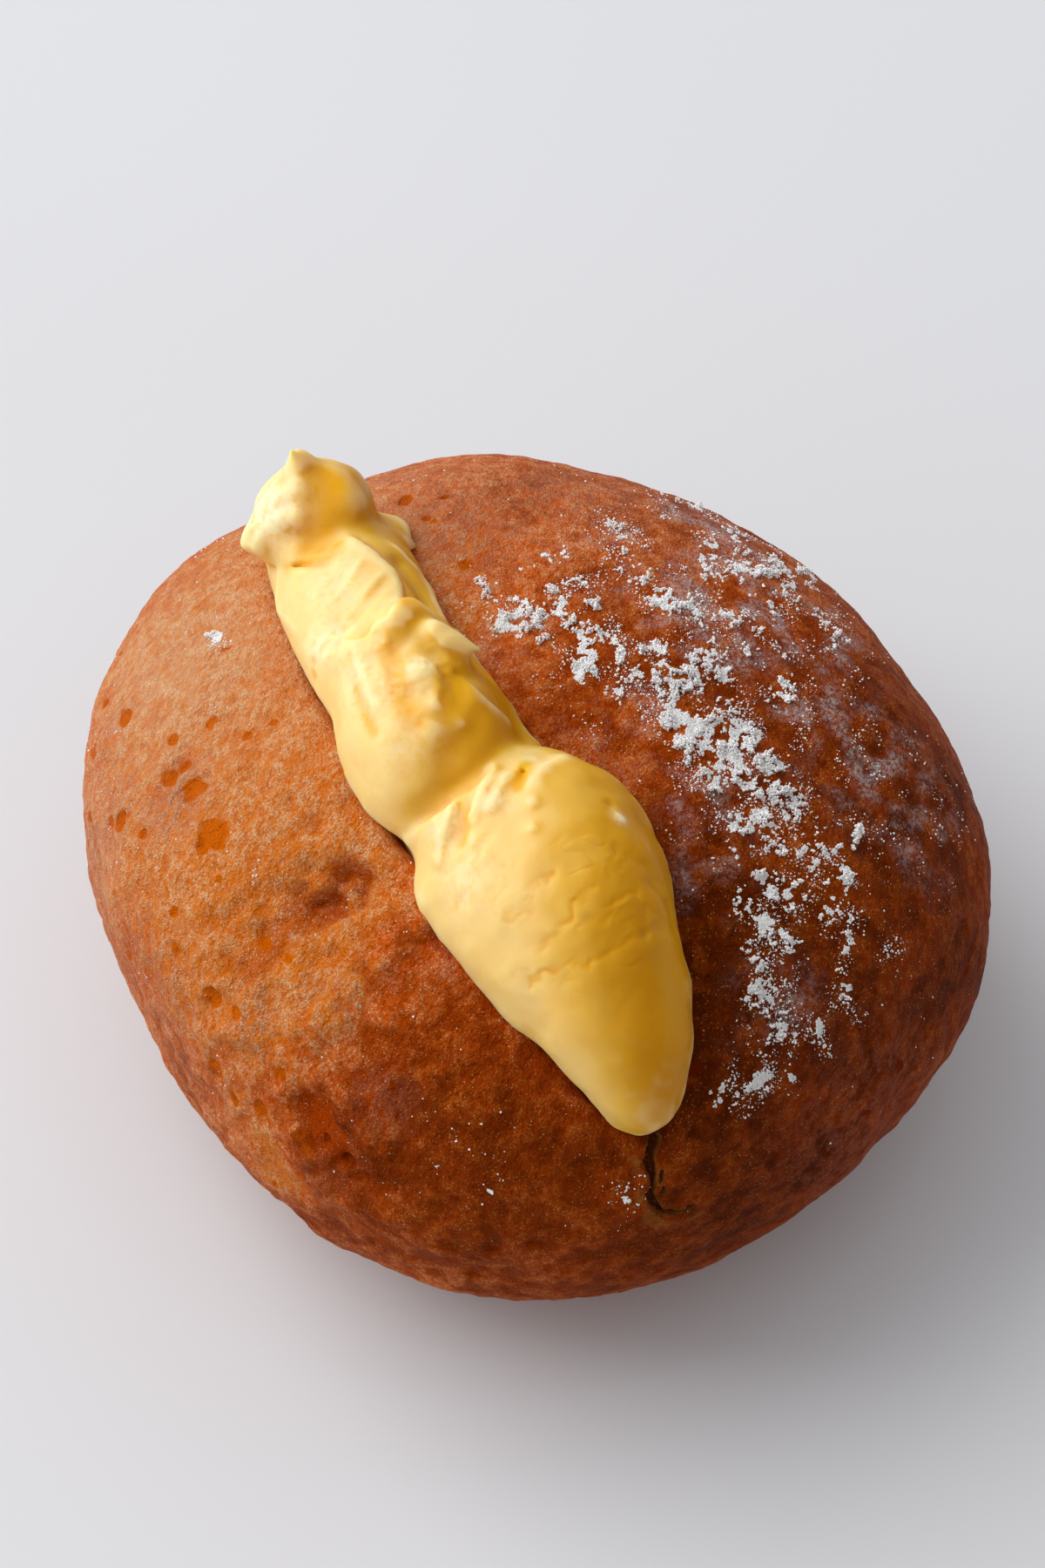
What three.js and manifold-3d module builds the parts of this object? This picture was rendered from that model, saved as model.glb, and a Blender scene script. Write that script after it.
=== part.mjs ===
// A bombolone: a fried yeast bun, slit across its top and piped with custard that stands out of the slit.
//
// Millimetres, +Z up. The bun lies on its flat underside at z = 0, and the slit runs along Y. A place on the
// crust is named by a direction from the middle of the bun: an azimuth in degrees from +X towards +Y, and a
// level in degrees from the waist (0) up to the crown (90). A place in the custard is named by a share of the
// slit's path (0 is the far end, 1 the near end), a step across it towards +X, and a height above the crust.

import * as THREE from "three";
import { mergeVertices } from "three/addons/utils/BufferGeometryUtils.js";
import Module from "manifold-3d";

const wasm = await Module();
wasm.setup();

// ---------------------------------------------------------------- driving dimensions

const BUN = {
  halfWidth: 43, // across the slit
  halfLength: 46.5, // along the slit
  height: 55,
  waist: 25, // height of the widest ring
  fullness: 2.2, // superellipse exponent of the profile; 2 would be a plain ellipse
  undersideDepth: 27.5, // the lower half is a little deeper than the waist and is cut off flat
};

// Where the proving dough swelled, or sank into a dent: a direction, how far it spreads in degrees, and how
// far it stands out of the even form.
const SWELLS = [
  { azimuth: 114, level: 12, spread: 24, rise: 2.5 },
  { azimuth: 330, level: 6, spread: 36, rise: 4 },
  { azimuth: 209, level: 52, spread: 9, rise: -1.6 },
  { azimuth: 236, level: 52, spread: 6, rise: -1.2 },
];

// Where the bun lay against a neighbour in the tray: a direction, the distance from the middle of the bun
// at which it is pressed flat, and how softly the flat runs out.
const FLATS = [
  { azimuth: 190, level: -5, distance: 41, softness: 3 },
  { azimuth: 284, level: 0, distance: 49.5, softness: 3 },
];

// The slit runs over the crown. Its lips roll down towards it.
const SLIT = {
  path: [
    [104, 41],
    [108, 53],
    [124, 70],
    [208, 77],
    [249, 65],
    [259, 48],
    [263, 29],
  ],
  width: 12,
  depth: 27,
  taper: 0.3, // width at the bottom as a share of the width at the crust
  proud: 8, // how far the cutting wedge stands out of the crust
  lipDrop: 2.5,
  lipWidth: 11,
};

// Past the custard's near end the crust has torn on: a short crooked crack.
const CRACK = {
  path: [
    [264, 31],
    [262, 23],
    [262, 18],
    [266, 12],
  ],
  width: 1.8,
  depth: 5,
  taper: 0.2,
  proud: 2,
};

// The custard was piped in overlapping lobes. Each spans two shares of the slit's path. Its half widths,
// heights above the crust and steps across the slit are given at even stations from its far end to its near
// end.
const LOBES = [
  {
    span: [0.04, 0.53],
    halfWidths: [6.4, 6.8, 7.6, 7.2],
    rises: [6, 7, 7.5, 7],
    shifts: [1, 0.9, 0.4, 0.6],
  },
  {
    span: [0.33, 0.58],
    halfWidths: [5, 7.4, 8.4, 7.4],
    rises: [9, 10, 9.5, 7],
    shifts: [1.5, 0.7, 0.4, 1],
  },
  {
    span: [0.5, 0.99],
    halfWidths: [11.6, 11, 7.6, 4.8],
    rises: [9, 10, 8.2, 6],
    shifts: [3, 2.9, 2, 1.6],
  },
];
const LOBE_SINK = 5; // depth of a lobe below the crust
const BRIM = 1; // how far the custard fills the slit above its lips, where no lobe covers it

// Rounded dollops on the lobes: a place, and the radii across, along and out of the slit.
const DOLLOPS = [
  { at: [0.19, 1, 6], radii: [5.8, 5.6, 5.6] },
  { at: [0.2, 5.4, 0.5], radii: [4.6, 4, 2] },
];

// Points drawn out of the custard as the nozzle came away: the places and radii of the root and the tip.
const POINTS = [
  { root: [0.18, 1.2, 8], rootRadius: 3.2, tip: [0.18, 1.6, 13], tipRadius: 0.7 },
  { root: [0.19, -1, 5.5], rootRadius: 4.2, tip: [0.19, -5, 6.2], tipRadius: 1.6 },
  { root: [0.4, 2, 7.5], rootRadius: 3, tip: [0.44, 6.2, 8.1], tipRadius: 0.8 },
];

const GAP = 0.3; // clearance between the custard and the crust

// A wedge's ends as shares of its middle, and the least width that it narrows to.
const WEDGE_ENDS = { width: 0.12, depth: 0.25, proud: 0.2 };
const LEAST_WEDGE = 0.2;

const LOBE_BLUNTNESS = 0.6; // fills out a lobe's round ends; 1 would make them an ellipsoid's

const BUN_SEGMENTS = [64, 36];
const LOBE_SEGMENTS = [24, 16];
const DOLLOP_SEGMENTS = [16, 10];
const POINT_SEGMENTS = { around: 10, cap: 6 };
const WEDGE_SEGMENTS = { along: 26, deep: 3 };
const DIRECTION_STEP = 0.01; // for taking slopes on the crust

// ---------------------------------------------------------------- the crust's form

const bunCentre = new THREE.Vector3(0, 0, BUN.waist);

function direction(azimuth, level) {
  const a = THREE.MathUtils.degToRad(azimuth);
  const l = THREE.MathUtils.degToRad(level);
  return new THREE.Vector3(Math.cos(a) * Math.cos(l), Math.sin(a) * Math.cos(l), Math.sin(l));
}

// A bell-shaped falloff: 1 at distance 0, and nearly 0 past twice the spread.
function bell(distance, spread) {
  return Math.exp(-((distance / spread) ** 2));
}

// Nothing below 0 and the value above it, with a rounded corner between them.
function softRamp(value, softness) {
  return softness * Math.log1p(Math.exp(value / softness));
}

function signedPower(value, exponent) {
  return Math.sign(value) * Math.abs(value) ** exponent;
}

// The path of the slit or the crack in unit directions, as a smooth curve.
function directionCurve(path) {
  return new THREE.CatmullRomCurve3(path.map(([azimuth, level]) => direction(azimuth, level)));
}

const slitCurve = directionCurve(SLIT.path);
const slitX = slitCurve.getPoint(0.5).x * BUN.halfWidth;

// The crust's point in a unit direction, before the slit is cut, moved outwards by grow.
function crustPoint(unit, grow = 0) {
  const flat = Math.hypot(unit.x, unit.y);
  const toward = flat > 0 ? [unit.x / flat, unit.y / flat] : [1, 0];
  const planRadius = 1 / Math.hypot(toward[0] / BUN.halfWidth, toward[1] / BUN.halfLength);
  const reach = planRadius * flat ** (2 / BUN.fullness);
  const depth = unit.z > 0 ? BUN.height - BUN.waist : BUN.undersideDepth;
  const point = new THREE.Vector3(
    toward[0] * reach,
    toward[1] * reach,
    depth * signedPower(unit.z, 2 / BUN.fullness),
  );
  let rise = grow;
  for (const swell of SWELLS) {
    const apart = THREE.MathUtils.radToDeg(unit.angleTo(direction(swell.azimuth, swell.level)));
    rise += swell.rise * bell(apart, swell.spread);
  }
  point.addScaledVector(point.clone().normalize(), rise);
  for (const pressed of FLATS) {
    const normal = direction(pressed.azimuth, pressed.level);
    const excess = point.dot(normal) - pressed.distance - grow;
    point.addScaledVector(normal, -softRamp(excess, pressed.softness));
  }
  point.add(bunCentre);
  if (unit.z > 0) {
    point.z -= SLIT.lipDrop * bell(point.x - slitX, SLIT.lipWidth) * unit.z;
  }
  return point;
}

// The crust's point on a curve of directions, with the outward, across and along unit vectors there.
function placeOnCrust(curve, share) {
  const unit = curve.getPoint(THREE.MathUtils.clamp(share, 0, 1)).normalize();
  const point = crustPoint(unit);
  const side = new THREE.Vector3(unit.y, -unit.x, 0).normalize();
  const over = side.clone().cross(unit).normalize();
  const dSide = crustPoint(unit.clone().addScaledVector(side, DIRECTION_STEP).normalize()).sub(point);
  const dOver = crustPoint(unit.clone().addScaledVector(over, DIRECTION_STEP).normalize()).sub(point);
  const outward = dSide.cross(dOver).normalize();
  if (outward.dot(unit) < 0) outward.negate();
  const ahead = crustPoint(curve.getPoint(Math.min(share + DIRECTION_STEP, 1)).normalize());
  const behind = crustPoint(curve.getPoint(Math.max(share - DIRECTION_STEP, 0)).normalize());
  const along = ahead.sub(behind).normalize();
  const across = outward.clone().cross(along).normalize();
  return { point, outward, across, along };
}

// A place in the custard as a point.
function placeInCustard([share, step, height]) {
  const { point, outward, across } = placeOnCrust(slitCurve, share);
  return point.clone().addScaledVector(across, step).addScaledVector(outward, height);
}

// ---------------------------------------------------------------- solids

// A closed geometry with each of its vertices moved by a function of its place.
function reshaped(geometry, move) {
  const position = geometry.getAttribute("position");
  const vertex = new THREE.Vector3();
  for (let i = 0; i < position.count; i++) {
    const moved = move(vertex.fromBufferAttribute(position, i));
    position.setXYZ(i, moved.x, moved.y, moved.z);
  }
  return geometry;
}

function solidOf(geometry) {
  geometry.deleteAttribute("normal");
  geometry.deleteAttribute("uv");
  const merged = mergeVertices(geometry, 1e-4);
  return new wasm.Manifold(
    new wasm.Mesh({
      numProp: 3,
      vertProperties: new Float32Array(merged.getAttribute("position").array),
      triVerts: new Uint32Array(merged.index.array),
    }),
  );
}

function geometryOf(solid) {
  const mesh = solid.getMesh();
  const geometry = new THREE.BufferGeometry();
  geometry.setAttribute("position", new THREE.BufferAttribute(mesh.vertProperties, 3));
  geometry.setIndex(new THREE.BufferAttribute(mesh.triVerts, 1));
  geometry.computeVertexNormals();
  return geometry;
}

// The whole bun before it is slit, grown by a clearance.
function domeSolid(grow) {
  const ball = new THREE.SphereGeometry(1, ...BUN_SEGMENTS).rotateX(Math.PI / 2);
  return solidOf(
    reshaped(ball, (v) => {
      const point = crustPoint(v.clone().normalize(), grow);
      point.z = Math.max(point.z, 0);
      return point;
    }),
  );
}

// A wedge that stands in the crust along a path: wide at the crust, narrow at its bottom, and closing to
// a narrow, shallow edge at both ends. In its middle it carries on above the crust by proud.
function wedgeSolid({ path, width, depth, taper, proud }, shrink) {
  const curve = directionCurve(path);
  const block = new THREE.BoxGeometry(1, 1, 1, 1, WEDGE_SEGMENTS.along, WEDGE_SEGMENTS.deep);
  return solidOf(
    reshaped(block, (v) => {
      const share = 0.5 - v.y;
      const down = 0.5 - v.z; // 0 at the top of the block, 1 at its bottom
      const { point, outward, across, along } = placeOnCrust(curve, share);
      const middle = Math.sqrt(Math.max(1 - (2 * share - 1) ** 2, 0)); // 0 at the ends, 1 midway
      const full = width * THREE.MathUtils.lerp(WEDGE_ENDS.width, 1, middle) - 2 * shrink;
      const deep = (depth - shrink) * THREE.MathUtils.lerp(WEDGE_ENDS.depth, 1, middle);
      const top = proud * THREE.MathUtils.lerp(WEDGE_ENDS.proud, 1, middle);
      const height = top - down * (top + deep);
      const narrowing = 1 - (1 - taper) * Math.max(-height / deep, 0);
      const atEnd = share === 0 || share === 1;
      const inset = atEnd ? Math.sign(v.y) * shrink : 0;
      return point
        .clone()
        .addScaledVector(across, v.x * Math.max(full, LEAST_WEDGE) * narrowing)
        .addScaledVector(along, inset)
        .addScaledVector(outward, height);
    }),
  );
}

// A smooth curve through values at even stations, read at a share of its length.
function stations(values) {
  const curve = new THREE.SplineCurve(values.map((value, i) => new THREE.Vector2(i, value)));
  return (share) => curve.getPoint(share).y;
}

// One piped lobe: a long body with round ends that follows the slit and bulges over its lips.
function lobeSolid({ span, halfWidths, rises, shifts }) {
  const halfWidthAt = stations(halfWidths);
  const riseAt = stations(rises);
  const shiftAt = stations(shifts);
  const ball = new THREE.SphereGeometry(1, ...LOBE_SEGMENTS);
  return solidOf(
    reshaped(ball, (v) => {
      const share = (1 - v.y) / 2;
      const ring = Math.hypot(v.x, v.z);
      const swell = ring > 0 ? ring ** LOBE_BLUNTNESS / ring : 0;
      const reach = v.z > 0 ? riseAt(share) : LOBE_SINK;
      return placeInCustard([
        THREE.MathUtils.lerp(...span, share),
        shiftAt(share) + v.x * swell * halfWidthAt(share),
        v.z * swell * reach,
      ]);
    }),
  );
}

function dollopSolid({ at, radii }) {
  const { outward, across, along } = placeOnCrust(slitCurve, at[0]);
  const centre = placeInCustard(at);
  const turn = new THREE.Matrix4().makeBasis(across, along.clone().negate(), outward);
  const ball = new THREE.SphereGeometry(1, ...DOLLOP_SEGMENTS);
  ball.scale(...radii).applyMatrix4(turn).translate(...centre);
  return solidOf(ball);
}

// A drawn-out point: a round root and a round tip joined by a tapering body.
function pointSolid({ root, rootRadius, tip, tipRadius }) {
  const start = placeInCustard(root);
  const axis = placeInCustard(tip).sub(start);
  const profile = [];
  for (let i = 0; i <= POINT_SEGMENTS.cap; i++) {
    const angle = (Math.PI / 2) * (i / POINT_SEGMENTS.cap - 1);
    profile.push(new THREE.Vector2(rootRadius * Math.cos(angle), rootRadius * Math.sin(angle)));
  }
  for (let i = 0; i <= POINT_SEGMENTS.cap; i++) {
    const angle = (Math.PI / 2) * (i / POINT_SEGMENTS.cap);
    const y = axis.length() + tipRadius * Math.sin(angle);
    profile.push(new THREE.Vector2(tipRadius * Math.cos(angle), y));
  }
  profile[0].x = 0;
  profile[profile.length - 1].x = 0;
  const body = new THREE.LatheGeometry(profile, POINT_SEGMENTS.around);
  const turn = new THREE.Quaternion().setFromUnitVectors(new THREE.Vector3(0, 1, 0), axis.normalize());
  body.applyQuaternion(turn).translate(...start);
  return solidOf(body);
}

const slit = wedgeSolid(SLIT, 0);
const crack = wedgeSolid(CRACK, 0);
const bunSolid = domeSolid(0).subtract(slit).subtract(crack);

const piped = [...LOBES.map(lobeSolid), ...DOLLOPS.map(dollopSolid), ...POINTS.map(pointSolid)];
const filling = wedgeSolid(SLIT, GAP).intersect(domeSolid(BRIM));
const custardSolid = piped.reduce((a, b) => a.add(b)).subtract(domeSolid(GAP)).add(filling);

// ---------------------------------------------------------------- materials and scene graph

const crustMaterial = new THREE.MeshStandardMaterial({
  color: new THREE.Color(0.62, 0.27, 0.08),
  roughness: 0.55,
  metalness: 0,
});
const custardMaterial = new THREE.MeshStandardMaterial({
  color: new THREE.Color(0.93, 0.74, 0.27),
  roughness: 0.35,
  metalness: 0,
});

function namedMesh(name, solid, material) {
  const mesh = new THREE.Mesh(geometryOf(solid), material);
  mesh.name = name;
  return mesh;
}

const bombolone = new THREE.Group();
bombolone.add(namedMesh("bun", bunSolid, crustMaterial));
bombolone.add(namedMesh("custard", custardSolid, custardMaterial));

// The origin is under the middle of the whole, on the surface that it lies on.
const box = new THREE.Box3().setFromObject(bombolone);
const middle = box.getCenter(new THREE.Vector3());
bombolone.position.set(-middle.x, -middle.y, -box.min.z);

export default bombolone;
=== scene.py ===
"""Looks of the bombolone: a fried crust, the custard piped into its cut, and icing sugar.

Shapes are worked out in millimetres, and a mesh is made in metres.
A place on the crust is a heading and a level in degrees, seen from the heart of the bun:
heading 0 is +X and 90 is +Y, level 90 is straight up.
A place on the custard is in thousandths of its box: across from -X to +X, along from +Y to -Y.
"""

import copy
import itertools
import math

import bmesh
import bpy
import numpy as np
import openvdb as vdb
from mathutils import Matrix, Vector
from mathutils.bvhtree import BVHTree


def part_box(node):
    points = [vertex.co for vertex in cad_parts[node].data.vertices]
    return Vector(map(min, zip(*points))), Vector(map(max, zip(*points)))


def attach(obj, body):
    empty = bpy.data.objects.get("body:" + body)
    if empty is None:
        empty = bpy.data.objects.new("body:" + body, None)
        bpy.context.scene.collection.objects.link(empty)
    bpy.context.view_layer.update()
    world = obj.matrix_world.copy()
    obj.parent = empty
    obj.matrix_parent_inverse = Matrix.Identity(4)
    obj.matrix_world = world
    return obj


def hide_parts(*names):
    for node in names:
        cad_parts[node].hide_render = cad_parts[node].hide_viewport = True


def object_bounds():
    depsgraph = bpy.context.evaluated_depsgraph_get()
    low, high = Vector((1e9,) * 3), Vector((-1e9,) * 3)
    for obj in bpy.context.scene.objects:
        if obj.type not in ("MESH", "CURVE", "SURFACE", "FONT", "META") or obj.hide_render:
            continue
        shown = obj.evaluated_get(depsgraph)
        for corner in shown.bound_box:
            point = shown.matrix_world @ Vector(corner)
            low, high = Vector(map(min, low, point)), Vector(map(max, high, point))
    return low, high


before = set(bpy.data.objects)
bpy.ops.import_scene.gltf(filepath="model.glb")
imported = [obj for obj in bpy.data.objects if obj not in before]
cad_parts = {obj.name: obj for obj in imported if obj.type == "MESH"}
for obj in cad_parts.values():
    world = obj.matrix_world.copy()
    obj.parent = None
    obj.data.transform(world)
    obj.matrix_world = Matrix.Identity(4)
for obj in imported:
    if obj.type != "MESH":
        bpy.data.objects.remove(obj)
cad_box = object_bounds()

MM = 0.001
SEED = 11
HEART = np.array([0.0, 0.0, 25.0])


# ---------------------------------------------------------------- numbers and noise

def smooth_step(low, high, values):
    """0 below low, 1 above high, and a smooth rise between."""
    share = np.clip((values - low) / (high - low), 0, 1)
    return share * share * (3 - 2 * share)


def bell(distance, reach):
    """1 at distance 0, fading to almost nothing two reaches away."""
    return np.exp(-((distance / reach) ** 2))


def gap_to(place, points):
    """The distance of each point from a place."""
    return np.linalg.norm(points - place, axis=-1)


def scattered(cells, seed):
    """A repeatable random number between -1 and 1 for each whole-numbered cell."""
    mixed = (cells[:, 0] * 73856093) ^ (cells[:, 1] * 19349663) ^ (cells[:, 2] * 83492791)
    mixed = mixed ^ (seed * 2654435761)
    mixed = (mixed ^ (mixed >> 13)) * 1274126177
    mixed = mixed ^ (mixed >> 16)
    return (mixed & 0xFFFF) / 32767.5 - 1


def noise(points, size, seed=0):
    """Smooth random values between about -1 and 1, which change over about size millimetres."""
    cells = points / size + 1000
    base = np.floor(cells).astype(np.int64)
    inside = cells - base
    inside = inside * inside * (3 - 2 * inside)
    total = np.zeros(len(points))
    for corner in itertools.product((0, 1), repeat=3):
        share = np.prod(np.where(corner, inside, 1 - inside), axis=1)
        total += share * scattered(base + corner, seed + SEED)
    return total * 1.6


def rough_noise(points, size, layers=3, seed=0):
    """Noise with finer and weaker noise on top of it."""
    return sum(noise(points, size / 2 ** n, seed + 31 * n) / 1.9 ** n for n in range(layers))


# ---------------------------------------------------------------- solids on a grid

def smooth_least(a, b, blend):
    """The lesser of two distances, with a rounded join blend millimetres wide."""
    share = np.clip(0.5 + 0.5 * (b - a) / blend, 0, 1)
    return b + (a - b) * share - blend * share * (1 - share)


def stretches(places, line):
    """For each stretch of a line: its step, how far along it the places are, as a share, and
    their offsets from it."""
    for a, b in zip(line, line[1:]):
        step = b - a
        share = np.clip(((places - a) @ step) / (step @ step), 0, 1)
        yield step, share, places - a - share[..., None] * step


def rod_distance(places, line, radii, flat=None):
    """Distance from a rod along line, whose radius changes from point to point.
    flat = (direction, factor) makes the rod that many times thinner in that direction."""
    line = np.atleast_2d(np.array(line, float))
    if flat is not None:
        axis, factor = flat
        places = places + (factor - 1) * (places @ axis)[..., None] * axis
        line = line + (factor - 1) * (line @ axis)[..., None] * axis
    if len(line) == 1:
        return gap_to(line[0], places) - radii[0]
    least = np.full(places.shape[:-1], np.inf)
    for (_, share, offset), start, end in zip(stretches(places, line), radii, radii[1:]):
        gap = np.linalg.norm(offset, axis=-1) - (start + (end - start) * share)
        least = np.minimum(least, gap)
    return least


def line_distance(places, line):
    """Distance from a line."""
    return rod_distance(places, line, [0] * len(line))


def uneven_bell(places, line, left, right):
    """1 along a line, fading over left and right: its two sides, walking along it upright."""
    least = np.full(places.shape[:-1], np.inf)
    aside = np.zeros(places.shape[:-1])
    for step, _, offset in stretches(places, line):
        side = np.cross(step, (0, 0, 1))
        side /= np.linalg.norm(side)
        gap = np.linalg.norm(offset, axis=-1)
        nearer = gap < least
        least = np.where(nearer, gap, least)
        aside = np.where(nearer, offset @ side, aside)
    rest = np.sqrt(np.maximum(least ** 2 - aside ** 2, 0))
    width = np.where(aside > 0, right, left)
    return np.exp(-((aside / width) ** 2) - (rest / max(left, right, 0.8)) ** 2)


def curved(line, radii):
    """The same line and radii with their corners cut twice, so that the rod bends smoothly."""
    rows = np.column_stack([np.array(line, float), radii])
    for _ in range(2):
        first = 0.75 * rows[:-1] + 0.25 * rows[1:]
        second = 0.25 * rows[:-1] + 0.75 * rows[1:]
        middle = np.stack([first, second], 1).reshape(-1, rows.shape[1])
        rows = np.vstack([rows[:1], middle, rows[-1:]])
    return rows[:, :3], rows[:, 3]


def bent(line):
    """The same line with its corners cut twice."""
    return curved(line, [0] * len(line))[0]


class Field:
    """A solid held as distances from its surface, in millimetres, on a grid of small cubes."""

    def __init__(self, points, faces, cube, band, room):
        grid = vdb.FloatGrid.createLevelSetFromPolygons(
            points, triangles=faces, transform=vdb.createLinearTransform(cube), halfWidth=band
        )
        low, high = grid.evalActiveVoxelBoundingBox()
        self.cube = cube
        self.low = np.array(low) - room
        self.corner = self.low * cube
        self.values = np.zeros(np.array(high) + room - self.low + 1, np.float32)
        grid.copyToArray(self.values, ijk=tuple(int(v) for v in self.low))

    def copy(self):
        twin = copy.copy(self)
        twin.values = self.values.copy()
        return twin

    def soften(self, reach):
        """Rounds every edge and facet by about reach."""
        sigma = reach / self.cube
        offsets = np.arange(-int(3 * sigma) - 1, int(3 * sigma) + 2)
        weights = np.exp(-0.5 * (offsets / sigma) ** 2).astype(np.float32)
        weights /= weights.sum()
        for axis in range(3):
            total = np.zeros_like(self.values)
            size = self.values.shape[axis]
            for offset, weight in zip(offsets, weights):
                index = np.clip(np.arange(size) + offset, 0, size - 1)
                total += weight * np.take(self.values, index, axis)
            self.values = total

    def window(self, points, reach):
        """The part of the grid within reach of the points, and the places of its cubes."""
        points = np.atleast_2d(points)
        low = np.floor((points.min(0) - reach - self.corner) / self.cube).astype(int)
        high = np.ceil((points.max(0) + reach - self.corner) / self.cube).astype(int) + 1
        low = np.clip(low, 0, self.values.shape)
        high = np.clip(high, 0, self.values.shape)
        part = tuple(slice(a, b) for a, b in zip(low, high))
        axes = [self.corner[i] + self.cube * np.arange(low[i], high[i]) for i in range(3)]
        return part, np.stack(np.meshgrid(*axes, indexing="ij"), -1)

    def rod(self, line, radii, blend, flat=None):
        """The part of the grid round a rod, and the distances from the rod there."""
        line, radii = curved(line, radii) if len(line) > 2 else (line, radii)
        part, places = self.window(line, max(radii) + 2 * blend + 1)
        return part, rod_distance(places, line, radii, flat)

    def add(self, line, radii, blend, flat=None):
        """Joins a rod to the solid."""
        part, rod = self.rod(line, radii, blend, flat)
        self.values[part] = smooth_least(self.values[part], rod, blend)

    def cut(self, line, radii, blend):
        """Cuts a rod out of the solid."""
        part, rod = self.rod(line, radii, blend)
        self.values[part] = -smooth_least(-self.values[part], rod, blend)

    def emboss(self, line, height, left, right):
        """Raises the surface along a line, or sinks it where height is below 0.
        Looking along the line from its first point, left and right are how far each side reaches."""
        line = self.settled(bent(line))
        part, places = self.window(line, 2.4 * max(left, right))
        self.values[part] -= height * uneven_bell(places, line, left, right)

    def swell(self, place, height, reach):
        """Raises a round bump, or sinks a dimple where height is below 0."""
        place = self.settled(np.atleast_2d(place))[0]
        part, places = self.window(place, 2.6 * reach)
        self.values[part] -= height * bell(gap_to(place, places), reach)

    def settled(self, points):
        """The points moved onto the surface."""
        points = np.array(points, float)
        for _ in range(4):
            points = points - self.at(points)[:, None] * self.outward(points)
        return points

    def at(self, points):
        """The distance from the surface at each point."""
        spots = (points - self.corner) / self.cube
        base = np.clip(np.floor(spots).astype(int), 0, np.array(self.values.shape) - 2)
        inside = spots - base
        total = np.zeros(len(points))
        for corner in itertools.product((0, 1), repeat=3):
            share = np.prod(np.where(corner, inside, 1 - inside), axis=1)
            total += share * self.values[tuple((base + corner).T)]
        return total

    def outward(self, points):
        """The direction straight out of the solid at each point."""
        step = np.eye(3) * self.cube
        slope = np.stack([self.at(points + s) - self.at(points - s) for s in step], 1)
        return slope / np.maximum(np.linalg.norm(slope, axis=1, keepdims=True), 1e-9)

    def surface(self):
        """Points and faces of the surface."""
        grid = vdb.FloatGrid(float(self.values.max()))
        grid.transform = vdb.createLinearTransform(self.cube)
        grid.copyFromArray(self.values, ijk=tuple(int(v) for v in self.low))
        points, triangles, quads = grid.convertToPolygons(0.0, 0.0)
        return points.astype(float), [*triangles.tolist(), *quads.tolist()]


# ---------------------------------------------------------------- meshes

def corners_of(mesh):
    """A mesh's points as rows, in metres."""
    flat = np.zeros(len(mesh.vertices) * 3, np.float32)
    mesh.vertices.foreach_get("co", flat)
    return flat.reshape(-1, 3).astype(float)


def triangles_of(mesh):
    """A mesh's points in millimetres, and its triangles."""
    mesh.calc_loop_triangles()
    faces = np.zeros(len(mesh.loop_triangles) * 3, np.int32)
    mesh.loop_triangles.foreach_get("vertices", faces)
    return corners_of(mesh) / MM, faces.reshape(-1, 3)


def solid_of(node):
    """A CAD node's points in millimetres, and its triangles."""
    return triangles_of(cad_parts[node].data)


def tree_of(node):
    """What rays are cast against, in millimetres, to find places on a CAD node."""
    points, faces = solid_of(node)
    return BVHTree.FromPolygons(points.tolist(), faces.tolist())


def placed(name, data):
    """A new object in the scene, made of the data."""
    thing = bpy.data.objects.new(name, data)
    bpy.context.scene.collection.objects.link(thing)
    return thing


def make_piece(name, points, faces, marks, material):
    """A smooth mesh that rides on the bun's body. marks are named values for its points."""
    mesh = bpy.data.meshes.new(name)
    mesh.from_pydata((points * MM).tolist(), [], faces)
    mesh.shade_smooth()
    for mark, values in marks.items():
        layer = mesh.attributes.new(mark, "FLOAT", "POINT")
        layer.data.foreach_set("value", np.asarray(values, np.float32))
    mesh.materials.append(material)
    piece = placed(name, mesh)
    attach(piece, "root")
    return piece


def facing_out(points, faces):
    """The faces, turned round if they enclose a negative volume."""
    a, b, c = points[np.array([face[:3] for face in faces]).T]
    volume = np.einsum("ij,ij->i", a, np.cross(b, c)).sum()
    return faces if volume > 0 else [face[::-1] for face in faces]


def refined(points, faces, spots, reaches):
    """The same surface with smaller faces within reach of the spots."""
    mesh = bpy.data.meshes.new("refining")
    mesh.from_pydata(points.tolist(), [], faces)
    work = bmesh.new()
    work.from_mesh(mesh)
    starts = np.array([edge.verts[0].co for edge in work.edges])
    near = np.zeros(len(starts), bool)
    for spot, reach in zip(spots, reaches):
        near |= gap_to(spot, starts) < reach
    edges = [edge for edge, chosen in zip(work.edges, near) if chosen]
    bmesh.ops.subdivide_edges(work, edges=edges, cuts=1, use_grid_fill=True)
    work.to_mesh(mesh)
    work.free()
    points = corners_of(mesh)
    faces = [list(face.vertices) for face in mesh.polygons]
    bpy.data.meshes.remove(mesh)
    return points, faces


# ---------------------------------------------------------------- places

bun_tree = tree_of("bun")
custard_tree = tree_of("custard")
custard_low, custard_high = (np.array(corner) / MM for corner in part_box("custard"))


def heading_of(heading, level):
    """The direction of a heading and level, in degrees."""
    a, e = math.radians(heading), math.radians(level)
    return np.array([math.cos(a) * math.cos(e), math.sin(a) * math.cos(e), math.sin(e)])


def on_crust(heading, level, lift=0.0):
    """The point of the crust in that direction from the heart, raised by lift."""
    way = heading_of(heading, level)
    start = HEART + 80 * way
    hit = bun_tree.ray_cast(Vector(start), Vector(-way))[0]
    return np.array(hit) + lift * way


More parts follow.
